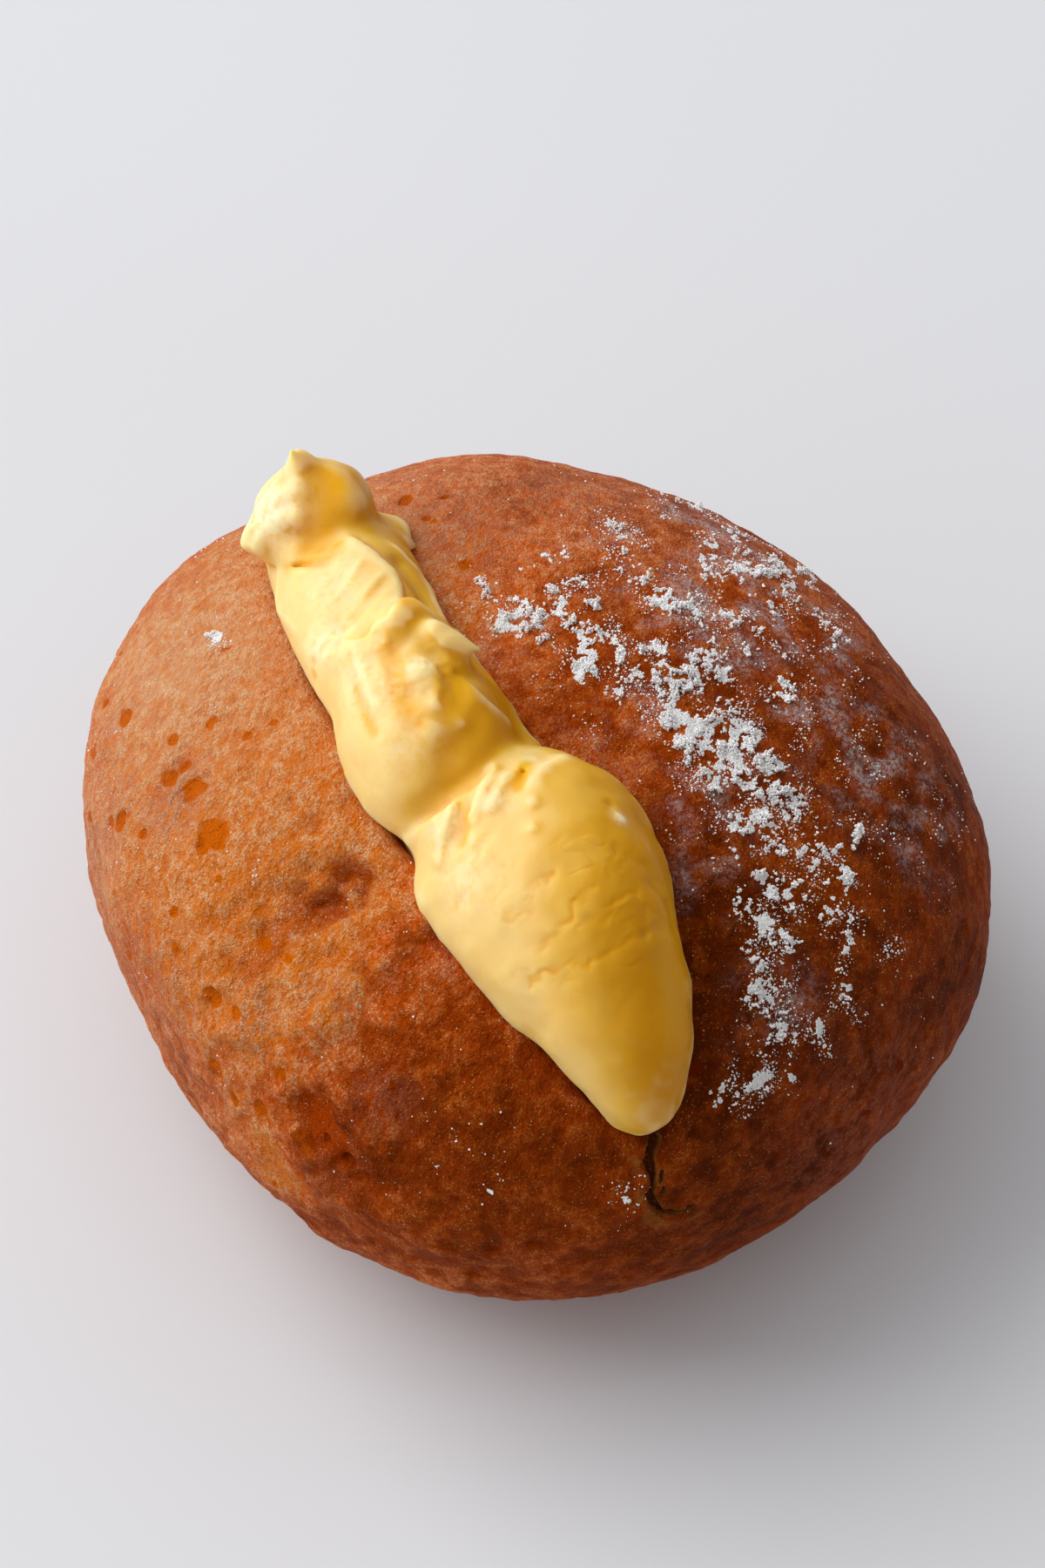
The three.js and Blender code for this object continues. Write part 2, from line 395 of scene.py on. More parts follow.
def in_custard(across, along, height):
    """The point at a place of the custard's box, height above the floor."""
    size = custard_high - custard_low
    x = custard_low[0] + across / 1000 * size[0]
    y = custard_high[1] - along / 1000 * size[1]
    return np.array((x, y, height))


def on_custard(across, along):
    """The point on top of the custard there, or level with its nearest point beside it."""
    above = in_custard(across, along, custard_high[2] + 10)
    hit = custard_tree.ray_cast(Vector(above), Vector((0, 0, -1)))[0]
    if hit is None:
        hit = custard_tree.find_nearest(Vector((above[0], above[1], custard_high[2] - 6)))[0]
    return np.array((above[0], above[1], hit[2]))


def crust_line(*places):
    """The points at those places of the crust."""
    return [on_crust(*place) for place in places]


def custard_line(*places):
    """The points at those places on top of the custard."""
    return [on_custard(*place) for place in places]


def custard_path(*places):
    """The points at those places and heights in the custard's box."""
    return [in_custard(*place) for place in places]


def patched(points, table, where, spread=1.0):
    """The strongest of a table's soft round patches at each point, from 0 to 1. A row is a place
    that where() understands, its reach and its strength; spread widens them all."""
    mark = np.zeros(len(points))
    for first, second, reach, strength in table:
        mark = np.maximum(mark, strength * bell(gap_to(where(first, second), points), spread * reach))
    return mark


# ---------------------------------------------------------------- the crust

# in millimetres, but CRACK_SIDE and CRUMPLED_PLACE are in degrees
CRUST_CUBE = 0.61
CRUST_SOFTNESS = 1.3
SMALL_PITS = 150
CRACK_SIDE = 3.5
CRACK_FILLING = 1.7
CRACK_FILLING_DEPTH = 1.6
CRACK_DEPTH = 1.2
CRACK_WIDTHS = (0.30, 0.14)
CRACK_REFINED = (1.8, 1.2)
BRANCH_WIDTH = 0.05
CRUMPLED_PLACE = (205, 30)
CRUMPLED_REACH = 26

# heading, level, radius and depth of the burst bubbles
PITS = (
    (179, 34, 1.9, 0.9), (164, 30, 1.2, 0.8), (163, 32, 0.9, 0.8), (168, 33, 1.6, 0.7),
    (165, 20, 1.1, 0.9), (163, 18, 0.9, 0.7), (149, 22, 1.1, 0.7), (157, 31, 0.7, 0.5),
    (91, 37, 0.9, 0.6), (90, 43, 0.7, 0.5), (84, 40, 0.6, 0.5), (88, 57, 0.6, 0.6), (156, 37, 0.9, 0.5),
    (162, 42, 0.7, 0.5), (161, 46, 0.6, 0.4), (186, 32, 0.5, 0.3), (188, 21, 0.9, 0.5),
    (184, 24, 0.7, 0.4), (170, 24, 0.6, 0.4), (197, 21, 1.1, 0.6), (202, 22, 0.8, 0.5),
    (201, 11, 1.4, 0.7), (205, 9, 1.1, 0.6), (209, 11, 1, 0.5), (217, 12, 1.2, 0.6), (223, 12, 1, 0.6),
    (239, -3, 0.9, 0.6), (261, -5, 0.9, 0.6), (257, -4, 0.7, 0.5), (296, 9, 1, 0.6),
    (216, 50, 0.6, 0.8),
)

# lines of headings and levels along the hollows, their reach and depth
HOLLOWS = (
    (((207, 43.5), (205.5, 41), (202, 39)), 1.2, 1), (((202, 39), (198, 35), (193, 29)), 1.8, 0.55),
    (((205, 43), (201, 38), (200, 34), (202, 28)), 2.6, 0.8),
    (((228, 42.5), (224.5, 39.5), (222, 37.5), (219, 35)), 1.4, 0.75),
    (((222, 34), (219, 28), (216, 22)), 2, 0.45), (((211, 33), (209, 28)), 1.8, 0.35),
    (((208, 39), (204, 34.5)), 1.6, -0.35), (((230, 39), (228, 37)), 2, -0.35),
    (((215, 35), (213, 29), (211, 24)), 2.2, -0.4), (((216, 48), (213, 49)), 1.2, 0.5),
    (((216, 17), (222, 13)), 2, 1), (((221, 8), (228, 10)), 2.2, 0.7), (((79, 54), (70, 47)), 4, 0.6),
    (((300, 10), (297, 5)), 3, 0.5),
)

# the crack below the custard, its side branch and the torn crumb beside it
CRACK = (
    (261, 18.5), (260, 15), (260.5, 12.5), (259.5, 10.5),
    (261, 9.5), (260.5, 8.5), (262, 7.5), (265, 7),
)
BRANCH = ((260.5, 10.5), (262.5, 12), (262, 13.5))
CRUMB = ((258.5, 16), (258.5, 11), (260, 6.5), (265, 5))


def random_pits(count):
    """Small burst bubbles all round the flank, as (heading, level, radius, depth)."""
    luck = np.random.default_rng(SEED)
    pits = []
    for _ in range(count):
        size = 0.25 + 0.7 * luck.random() ** 2
        pits.append((luck.uniform(0, 360), luck.normal(8, 18), size, 0.6 * size))
    return pits


def over_crack(heading, level):
    """A point on the crust where it would be if it weren't cracked there."""
    return (on_crust(heading - CRACK_SIDE, level) + on_crust(heading + CRACK_SIDE, level)) / 2


def add_waves(points, shift):
    """Adds the crust's long swells, its waves and its ripples to shift, more where the crust is
    crumpled. Gives how high each point stands on its wave, from 0 to 1."""
    crumpled = bell(gap_to(on_crust(*CRUMPLED_PLACE), points), CRUMPLED_REACH)
    shift += 0.35 * rough_noise(points, 11, 2, 1)
    waves = rough_noise(points, 3.4, 2, 2)
    ripples = rough_noise(points, 1.5, 2, 3)
    shift += (0.06 + 0.26 * crumpled) * waves + (0.08 + 0.15 * crumpled) * ripples
    return np.clip(0.5 + 0.4 * (0.25 * waves + 1.1 * ripples), 0, 1)


def sink_pits(points, shift, pits):
    """Sinks the burst bubbles into shift. Gives how deep in one each point is, from 0 to 1."""
    jitter = 0.28 * noise(points, 1.5, 5) + 0.12 * noise(points, 0.6, 6)
    mark = np.zeros(len(points))
    for place, radius, depth in pits:
        bowl = 1 - smooth_step(0.5, 1.1, gap_to(place, points) / radius + jitter)
        shift -= 0.5 * depth * bowl
        mark = np.maximum(mark, bowl)
    return mark


def sink_hollows(points, shift):
    """Sinks the dents and valleys into shift. Gives how deep in one each point is."""
    ragged = 0.9 * noise(points, 2.4, 7) + 0.5 * noise(points, 1.1, 11)
    mark = np.zeros(len(points))
    for line, reach, depth in HOLLOWS:
        gap = line_distance(points, crust_line(*line)) + ragged
        dip = 1 - smooth_step(0.3 * reach, 1.6 * reach, gap)
        shift -= depth * dip
        # the mark that darkens the dents and valleys with painted shade
        mark = np.maximum(mark, max(depth, 0) ** 2 * dip)
    return mark


def sink_crack(points, shift, crack, branch):
    """Sinks the crack and its branch into shift and raises their lips. Gives where the crack is
    and where torn crumb shows, from 0 to 1."""
    gap = rod_distance(points, crack, np.linspace(*CRACK_WIDTHS, len(crack)))
    gap = np.minimum(gap, rod_distance(points, branch, [BRANCH_WIDTH] * len(branch)))
    gap = gap + 0.18 * noise(points, 0.9, 8) + 0.12 * noise(points, 0.4, 9)
    split = 1 - smooth_step(-0.05, 0.30, gap)
    shift -= CRACK_DEPTH * split
    shift += 0.15 * bell(gap - 0.9, 0.5)
    torn = line_distance(points, crust_line(*CRUMB)) + 0.6 * noise(points, 1.1, 10)
    return split, np.maximum(0.7 * bell(torn, 0.9), 0.9 * bell(gap, 0.45))


def make_crust():
    """The bun's own surface with waves, burst bubbles, hollows and the crack. The solid's coarse
    crack is filled first, and a finer one is sunk in its place."""
    points, faces = solid_of("bun")
    field = Field(points, faces, CRUST_CUBE, band=10, room=2)
    crack = [over_crack(*place) for place in CRACK]
    branch = [over_crack(*place) for place in BRANCH]
    buried = [p + CRACK_FILLING_DEPTH * (HEART - p) / np.linalg.norm(p - HEART) for p in crack]
    field.add(buried, [CRACK_FILLING] * len(crack), 0.5)
    field.soften(CRUST_SOFTNESS)
    points, faces = field.surface()
    faces = facing_out(points, faces)

    pits = [(on_crust(h, e), r, d) for h, e, r, d in PITS + tuple(random_pits(SMALL_PITS))]
    spots, radii, _ = zip(*pits[:len(PITS)])
    points, faces = refined(points, faces, spots, [1.3 * radius + 0.3 for radius in radii])
    crack = field.settled(bent(crack))
    branch = field.settled(bent(branch))
    for reach in CRACK_REFINED:
        points, faces = refined(points, faces, crack, [reach] * len(crack))

    normals = field.outward(points)
    shift = np.zeros(len(points))
    rise = add_waves(points, shift)
    pit = sink_pits(points, shift, pits)
    hollow = sink_hollows(points, shift)
    split, crumb = sink_crack(points, shift, crack, branch)
    above_floor = smooth_step(0.4, 3.0, points[:, 2])
    points = points + normals * (shift * above_floor)[:, None]
    points[:, 2] = np.maximum(points[:, 2], 0.0)

    marks = {
        "pit": pit,
        # painted shade in the dents and valleys
        "hollow": hollow,
        "crumb": crumb,
        # also carries the painted shade inside the crack
        "split": split,
        # also drives painted shade: browner in the troughs of the waves, paler on their crests
        "rise": rise,
        "brown": browning(points),
        "dust": dusting(points),
        # a purplish tone of the crust and, on the left rim, a painted pale sheen
        "bruise": patched(points, PURPLE_AND_RIM_SHEEN_PATCHES, on_crust),
        # painted sheen on the side towards the window
        "sheen": patched(points, PAINTED_SHEENS, on_crust),
    }
    piece = make_piece("crust", points, faces, marks, crust_material())
    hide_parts("bun")
    return piece


BROWN = 0.41
# heading, level, reach in millimetres and strength of darker (above 0) and paler patches
PATCHES = (
    (150, 35, 24, -0.85), (185, 45, 18, -0.45), (211, 7, 2.6, -1.3), (213, 2, 2.2, -1),
    (205, 33, 6, -0.3), (110, 30, 12, -0.1), (205, 41, 3, 0.4), (206, 38, 14, -0.2),
    (207.5, 38.8, 1.5, -0.7), (204, 34, 2, -0.6), (214, 31, 5, -0.5), (197, 34, 6, -0.45),
    (198, 32, 10, -0.35), (194, 15, 9, -0.45), (188, 40, 9, -0.25), (192, 20, 7, 0.15),
    (100, 38, 14, -0.3), (230, 40, 2.6, -0.6), (224, 39.5, 2.6, 0.5), (219, 14, 6, 0.55),
    (168, 31, 5, 0.45), (160, 12, 8, 0.3), (198, 8, 8, 0.2), (240, 14, 20, 0.45), (228, 30, 9, 0.35),
    (275, 5, 26, 0.65), (275, 40, 16, 0.6), (320, 15, 30, 0.6), (0, 40, 22, 0.3), (70, 45, 10, 0.25),
)


def browning(points):
    """How brown the crust is, from 0 to 1: BROWN on the whole, more or less in patches."""
    brown = BROWN + 0.08 * rough_noise(points, 9, 3, 12)
    ragged = 1.1 * rough_noise(points, 3, 3, 13)
    for heading, level, reach, strength in PATCHES:
        gap = gap_to(on_crust(heading, level), points)
        brown += 0.5 * strength * bell(gap + ragged, reach)
    return np.clip(brown, 0, 1)


# heading, level, reach and strength of the purplish patches: partly a purplish tone of the crust, partly
# a painted pale sheen on the left rim
PURPLE_AND_RIM_SHEEN_PATCHES = (
    (168, 30, 5, 1), (163, 20, 5, 0.8), (150, 18, 5, 0.6), (186, 14, 9, 0.7), (172, 2, 9, 0.7),
    (204, 22, 4, 0.7), (221, 14, 3.5, 0.6), (220, 7, 5, 0.5), (226, 22, 4, 0.7), (81, 50, 7, 0.8),
    (60, 40, 8, 0.6), (98, 44, 9, 0.7), (214, 30, 4, 0.6), (230, 40, 2.6, 0.9), (290, 4, 14, 0.7),
)

# heading, level, reach and strength of the painted pale sheen on the side towards the window
PAINTED_SHEENS = (
    (140, 30, 16, 0.42), (160, 10, 12, 0.34), (100, 34, 16, 0.25), (60, 36, 12, 0.12),
    (190, 4, 12, 0.12),
)

# heading, level, reach and strength of the thin film of sugar
FILMS = (
    (13, 44, 7, 0.9), (3, 43, 6, 0.9), (359, 38, 6, 0.8), (356, 53, 5, 0.7), (20, 36, 6, 0.7),
    (337, 38, 5, 0.7), (328, 32, 5, 0.9), (322, 25, 5, 0.6), (8, 50, 8, 0.8), (28, 34, 7, 0.7),
    (14, 57, 5, 0.6), (335, 43, 5, 0.9), (320, 68, 3, 0.6), (301, 72, 4, 0.4), (301, 55, 3.5, 0.6),
    (287, 47, 4, 0.5), (36, 53, 6, 0.5), (82, 78, 3, 0.5), (283, 27, 4, 0.4),
)


def dusting(points):
    """How thickly the finest sugar veils the crust, from 0 to 1."""
    veil = patched(points, FILMS, on_crust, 1.3)
    return np.clip(veil * (0.55 + 0.8 * rough_noise(points, 2.2, 3, 21)), 0, 1)


# ---------------------------------------------------------------- the custard

CUSTARD_CUBE = 0.36
CUSTARD_SOFTNESS = 0.7
CUSTARD_GROWTH = 0.3
HOLLOWS_SOFTENED = 1.5
RIDGES_SOFTENED = 0.7
WRINKLE_REACH = 0.42
AWAY_FROM_WINDOW = (0.75, -0.62, -0.25)

# Each stroke is a line of places (across, along), how far it rises or sinks there, and how far it
# reaches on its left and right. Looking from above with +Y away, a line that runs down the page has
# the +X side on its left, and a line that runs to +X has the far side on its left.
KNOB_STROKES = (
    (((440, 100), (400, 115), (350, 132), (310, 150)), -0.5, 2.4, 1.6),
    (((500, 90), (520, 120), (500, 144)), 0.3, 1.6, 1.6),
    (((310, 74), (380, 70), (460, 77), (500, 94)), 0.25, 0.8, 1),
)
# across, along, height and reach of the knob's lumps
KNOB_LUMPS = (
    (310, 96, 0.6, 1), (240, 80, 0.3, 0.7), (190, 90, 0.4, 0.9), (210, 118, 0.7, 1),
    (270, 128, 0.6, 0.8), (140, 110, 0.5, 0.8), (240, 103, -0.25, 0.7), (170, 103, -0.25, 0.6),
    (280, 78, -0.3, 0.5), (220, 98, 0.3, 0.5), (330, 112, 0.25, 0.5), (120, 96, 0.35, 0.5),
    (100, 116, 0.35, 0.5), (170, 84, 0.3, 0.5), (150, 123, 0.35, 0.5), (130, 105, -0.3, 0.4),
)
RIBBON_STROKES = (
    (((280, 215), (280, 285), (290, 340)), -0.45, 2, 2.2),
    (((140, 160), (100, 184), (90, 255)), 0.25, 0.8, 0.8),
    (((450, 195), (490, 235), (520, 263), (500, 294), (460, 325)), 0.9, 0.35, 1.4),
    (((570, 235), (600, 285), (570, 330)), -0.7, 0.9, 0.9),
    (((200, 238), (280, 226), (360, 205)), 0.16, 0.35, 0.45),
    (((240, 262), (340, 248), (420, 226)), 0.2, 0.35, 0.45),
    (((240, 300), (340, 285), (450, 262)), 0.22, 0.35, 0.45),
    (((240, 330), (360, 312), (460, 290)), 0.2, 0.35, 0.45),
    (((600, 200), (660, 255), (680, 300), (680, 340)), 0.25, 0.4, 0.8),
)
FOLD_STROKES = (
    (((190, 350), (240, 366), (300, 362), (360, 366), (400, 352), (450, 340), (500, 346),
      (550, 368), (580, 396)), 0.9, 0.35, 2),
    (((500, 440), (530, 471), (570, 498), (630, 510)), 0.3, 0.4, 1.5),
    (((430, 452), (400, 473), (370, 496)), 0.5, 0.8, 0.9),
    (((520, 462), (480, 484), (440, 508)), -0.35, 1, 0.9),
    (((310, 405), (290, 430), (270, 452)), -0.35, 1.4, 1.2),
    (((270, 452), (250, 480), (260, 505)), -0.25, 1.1, 1.1),
    (((140, 405), (130, 430), (120, 460), (130, 490)), -0.28, 1.1, 0.7),
    (((190, 400), (180, 430), (170, 455)), 0.25, 0.6, 0.6),
    (((490, 528), (420, 546), (340, 558)), -0.35, 1.4, 1.4),
)
FOLD_LUMPS = (
    (370, 440, 0.25, 0.7), (420, 405, 0.25, 0.9), (440, 523, 0.3, 0.9), (310, 520, 0.2, 0.9),
    (220, 375, 0.2, 0.6), (310, 385, 0.2, 0.5), (170, 291, 0.4, 0.6), (140, 335, 0.3, 0.6),
    (220, 335, 0.3, 0.5), (90, 317, -0.6, 0.4), (70, 330, -0.6, 0.4),
)
CREASE_STROKES = (
    (((200, 588), (300, 595), (420, 600), (500, 595)), -0.3, 1.6, 0.6),
    (((140, 594), (180, 602), (240, 606), (280, 612)), 0.5, 0.35, 1.2),
    (((330, 636), (380, 622), (430, 606), (470, 592)), 0.9, 0.4, 0.9),
    (((400, 640), (450, 626), (500, 610)), 0.55, 0.4, 0.8),
    (((330, 622), (290, 640), (250, 652)), -0.7, 0.7, 1),
    (((280, 612), (220, 630), (160, 655)), 0.35, 0.4, 0.5), (((280, 668), (240, 690)), 0.12, 0.4, 0.4),
    (((580, 632), (650, 615), (740, 602)), 0.4, 0.5, 1.6),
    (((180, 676), (280, 680), (350, 672)), -0.18, 0.35, 0.35),
    (((140, 672), (170, 660), (200, 650)), -0.15, 0.35, 0.35),
)
CREASE_LUMPS = (
    (540, 662, 0.35, 0.6), (490, 694, 0.3, 0.6), (300, 690, 0.2, 0.8),
)
DROP_STROKES = (
    (((840, 792), (900, 806)), -0.4, 0.7, 0.7), (((800, 838), (880, 830)), -0.3, 0.5, 0.5),
    (((760, 752), (840, 768), (890, 790)), -0.2, 0.6, 0.6),
)
# heading and level beside the drop, where its side swells, how far and its reach
DROP_SIDES = (
    (236, 40, 0.5, 3), (243, 35, 0.7, 3), (250, 29.5, 0.7, 3), (271, 34.5, 0.6, 2.6),
    (269, 29, 0.4, 2.6), (267, 25, 0.2, 2.2),
)
DROP_LUMPS = (
    (730, 847, -0.5, 0.5), (830, 688, -0.4, 0.4), (840, 708, 0.4, 0.5), (300, 887, 0.15, 0.4),
    (100, 660, -0.3, 0.5), (170, 717, -0.3, 0.5),
)
# the deeper wrinkles across the drop, and how deep they are
WRINKLES = (
    (((590, 790), (550, 795), (510, 800), (480, 808), (440, 808)), 0.22),
    (((410, 812), (370, 820), (330, 823)), 0.12),
    (((760, 806), (700, 806), (660, 812), (620, 812)), 0.2),
    (((640, 822), (590, 824), (540, 820)), 0.12),
    (((580, 856), (530, 862), (490, 858), (450, 860)), 0.18),
    (((430, 852), (380, 850), (340, 842), (280, 838)), 0.15), (((300, 768), (260, 772)), 0.12),
    (((390, 772), (350, 778)), 0.12), (((410, 681), (340, 682), (270, 688)), 0.1),
    (((480, 754), (410, 757), (370, 767)), 0.12), (((850, 791), (900, 798), (910, 806)), 0.2),
    (((770, 826), (850, 829)), 0.16), (((480, 859), (590, 855), (680, 848)), 0.14),
    (((440, 815), (350, 818)), 0.12), (((340, 775), (280, 774)), 0.12),
    (((750, 870), (680, 874), (590, 875)), 0.1), (((200, 712), (140, 706)), 0.12),
    (((380, 717), (330, 716), (270, 719)), 0.1), (((670, 717), (600, 720)), 0.1),
    (((870, 749), (770, 762), (700, 775)), 0.12), (((290, 828), (230, 817)), 0.1),
)
# places across, along and reach of the stretches crossed by fine wrinkles, and how strong they are
WRINKLED = (
    (550, 800, 7, 1), (700, 740, 6, 0.9), (400, 700, 5, 0.6), (450, 850, 4, 0.8), (850, 820, 4, 1),
    (500, 250, 3, 0.4), (350, 740, 5, 0.7), (550, 730, 5, 0.7),
)
# lines along which the custard is painted a deeper yellow as shade in its valleys and under its folds,
# their reach and strength
AMBER_SHADE_LINES = (
    (((440, 106), (380, 124), (330, 145), (300, 167)), 2.4, 1),
    (((200, 158), (290, 190), (380, 186)), 0.9, 0.9), (((490, 232), (525, 263), (505, 294)), 0.5, 0.8),
    (((440, 350), (520, 356), (570, 380), (620, 420), (660, 438)), 1.4, 0.9),
    (((300, 405), (280, 437), (260, 474), (280, 510)), 1.3, 0.9),
    (((520, 462), (470, 486), (430, 508)), 1.5, 0.9), (((140, 415), (130, 440), (120, 485)), 0.8, 0.8),
    (((90, 317), (70, 330)), 0.5, 0.7), (((500, 526), (420, 546), (340, 556)), 2, 0.5),
    (((320, 630), (280, 645), (250, 655)), 0.9, 0.8), (((200, 600), (300, 600), (420, 592)), 1, 0.4),
    (((520, 632), (560, 618), (610, 600)), 0.8, 1), (((860, 840), (800, 880), (720, 930)), 4, 0.5),
)
# across, along, reach and strength of the palest stretches: partly paler custard, partly a painted
# highlight where it is most brightly lit
PALE_AND_LIT_PATCHES = (
    (280, 240, 4.5, 0.35), (180, 440, 4, 0.35), (200, 520, 3.5, 0.25), (190, 95, 3.4, 0.9),
    (150, 310, 2.6, 0.6), (160, 400, 3, 0.4), (220, 628, 2.2, 0.4), (420, 634, 1.6, 0.45),
    (200, 700, 3, 0.4), (380, 440, 1.2, 0.7), (840, 708, 0.7, 1),
)
# across, along and reach of the stretches with the smallest faces
FINEST = ((500, 820, 8.5), (400, 610, 4.5), (350, 420, 4.5))
# across, along, reach and height of the lumpy stretches
LUMPY = (
    (200, 90, 3.2, 0.14), (170, 300, 2.5, 0.3), (250, 360, 3.5, 0.3), (400, 450, 4.5, 0.26),
    (220, 620, 2.5, 0.22), (400, 630, 2.5, 0.2),
)


def make_custard():
    """The piped custard: its lobes, drawn with strokes and lumps, under fine lumps and wrinkles."""
    points, faces = solid_of("custard")
    field = Field(points, faces, CUSTARD_CUBE, band=10, room=8)
    field.soften(CUSTARD_SOFTNESS)
    field.values -= CUSTARD_GROWTH
    shape_drop(field)
    shape_knob(field)
    draw(field, RIBBON_STROKES)
    shape_fold(field)
    shape_crease(field)
    smooth = field.copy()
    smooth.soften(HOLLOWS_SOFTENED)
    blunted = field.copy()
    blunted.soften(RIDGES_SOFTENED)

    points, faces = field.surface()
    faces = facing_out(points, faces)
    spots = [on_custard(across, along) for across, along, _ in FINEST]
    points, faces = refined(points, faces, spots, [reach for _, _, reach in FINEST])
    normals = field.outward(points)
    rolling = 0.12 * rough_noise(points, 4.0, 2, 41)
    relief = 0.03 * noise(points, 1.0, 43) + lumpiness(points) * rough_noise(points, 2.3, 3, 44)
    creased = np.maximum(deep_wrinkles(points, field), 0.10 * fine_wrinkles(points))
    relief -= creased
    raised = blunted.at(points) + relief
    sunk = -smooth.at(points) - relief
    points = points + normals * (rolling + relief)[:, None]

    marks = {
        # painted shade: a deeper yellow along the valleys and in the creases of the wrinkles
        "amber": np.maximum(painted_amber_shade(points, field), np.minimum(4.0 * creased, 0.6)),
        # partly paler custard, partly a painted highlight where the custard is most brightly lit
        "cream": patched(points, PALE_AND_LIT_PATCHES, on_custard),
        # painted shade: how far each point lies in a hollow, coloured a deeper amber
        "hollow": smooth_step(0.0, 0.9, sunk),
        # painted highlight: how far each point stands on a ridge, coloured paler
        "ridge": smooth_step(0.03, 0.22, raised),
        # painted shade: the custard is coloured a deeper amber on the side turned away from the window
        "shade": smooth_step(-0.6, 0.6, normals @ np.array(AWAY_FROM_WINDOW)),
    }
    piece = make_piece("custard_filling", points, faces, marks, custard_material())
    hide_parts("custard")


def lumpiness(points):
    """How high the custard's fine lumps are at each point, in millimetres."""
    height = np.zeros(len(points))
    for across, along, reach, most in LUMPY:
        height += most * bell(gap_to(on_custard(across, along), points), reach)
    return height


def deep_wrinkles(points, field):
    """How deep the custard is creased along its deeper wrinkles, in millimetres."""
    jagged = points + 0.35 * np.stack([noise(points, 0.9, 45 + n) for n in range(3)], 1)
    depth = np.zeros(len(points))
    for line, most in WRINKLES:
        line = field.settled(bent(custard_line(*line)))
        depth = np.maximum(depth, most * bell(line_distance(jagged, line), WRINKLE_REACH))
    return 0.85 * depth * (1 + 0.5 * noise(points, 1.4, 83))


def fine_wrinkles(points):
    """Fine broken wrinkles that run across the custard, from 0 to 1."""
    wavy = points + 0.5 * np.stack([noise(points, 1.6, 84 + n) for n in range(3)], 1)
    x, y, z = wavy.T
    turned = np.stack([0.45 * (x + 0.25 * y), y - 0.25 * x, 0.7 * (z + 0.3 * x)], 1)
    folds = bell(rough_noise(turned, 1.5, 2, 81), 0.22)
    broken = smooth_step(-0.2, 0.5, noise(points, 2.2, 82))
    return patched(points, WRINKLED, on_custard) * broken * folds


def painted_amber_shade(points, field):
    """Where the custard is painted a deeper yellow as shade in its valleys, from 0 to 1."""
    mark = np.zeros(len(points))
    for line, reach, strength in AMBER_SHADE_LINES:
        line = field.settled(custard_line(*line))
        mark = np.maximum(mark, strength * bell(line_distance(points, line), reach))
    return mark


def draw(field, strokes, lumps=()):
    """Embosses the strokes, then raises the lumps."""
    for line, height, left, right in strokes:
        field.emboss(custard_line(*line), height, left, right)
    for across, along, height, reach in lumps:
        field.swell(on_custard(across, along), height, reach)


def shape_knob(field):
    """The lump where the nozzle was pulled away: ragged at the left, a barrel at the right,
    a valley between them and a thin peak."""
    field.add(custard_path((180, 104, 54.6), (120, 102, 54.2), (70, 102, 54.0)),
              (1.9, 1.2, 0.6), 1.2)
    field.add(custard_path((200, 115, 53.6), (260, 150, 54.4)), (2.2, 2.0), 1.2)
    field.add(custard_path((350, 65, 59.0), (345, 60, 60.5), (340, 55, 61.6)),
              (1.0, 0.4, 0.15), 0.8)
    draw(field, KNOB_STROKES, KNOB_LUMPS)
    field.cut(custard_path((130, 128, 51.6), (200, 172, 54.9), (290, 203, 57.4),
                           (380, 200, 57.9), (470, 184, 57.4)), (0.12, 0.22, 0.32, 0.35, 0.2), 0.6)
    sheet = np.array((0.72, 0.25, 0.65))
    field.add(custard_path((540, 150, 55.0), (640, 156, 52.8), (740, 157, 50.5)),
              (1.7, 1.1, 0.35), 1.0, flat=(sheet, 2.8))


def shape_fold(field):
    """The stretch that folds over the ribbon: a crest with a drawn-out tip, lumps and valleys."""
    draw(field, FOLD_STROKES, FOLD_LUMPS)
    field.add(custard_path((670, 340, 53.2), (665, 400, 53.4), (680, 460, 53.6),
                           (720, 530, 53.4)), (0.5, 0.9, 1.0, 0.9), 2.0)
    field.add(custard_path((500, 400, 61.4), (575, 421, 61.3), (650, 440, 61.1)),
              (1.3, 0.8, 0.2), 1.0)
    field.cut(custard_path((640, 464, 59.9), (570, 460, 60.3), (510, 454, 60.9)),
              (0.9, 0.6, 0.2), 0.4)


def shape_crease(field):
    """Where the last lobe starts: torn tongues drawn up over the fold, and a dark notch."""
    draw(field, CREASE_STROKES, CREASE_LUMPS)
    field.cut(custard_path((530, 632, 60.4), (560, 616, 59.7), (610, 596, 58.2),
                           (670, 580, 56.8)),
              (0.05, 0.2, 0.3, 0.2), 0.5)


def shape_drop(field):
    """The long last lobe: fuller at its shoulder and sides, with a nick and a dented right edge."""
    field.add(crust_line((215, 53, 1.0), (222, 48.5, 1.0), (229, 44.5, 0.8)), (1.7, 2.0, 1.2), 2.5)
    for heading, level, height, reach in DROP_SIDES:
        field.swell(on_crust(heading, level, 0.8), height, reach)
    field.add(custard_path((760, 628, 56.0), (880, 650, 54.8), (930, 690, 53.6)),
              (2.2, 2.1, 1.5), 1.5)
    draw(field, DROP_STROKES, DROP_LUMPS)


# ---------------------------------------------------------------- the icing sugar

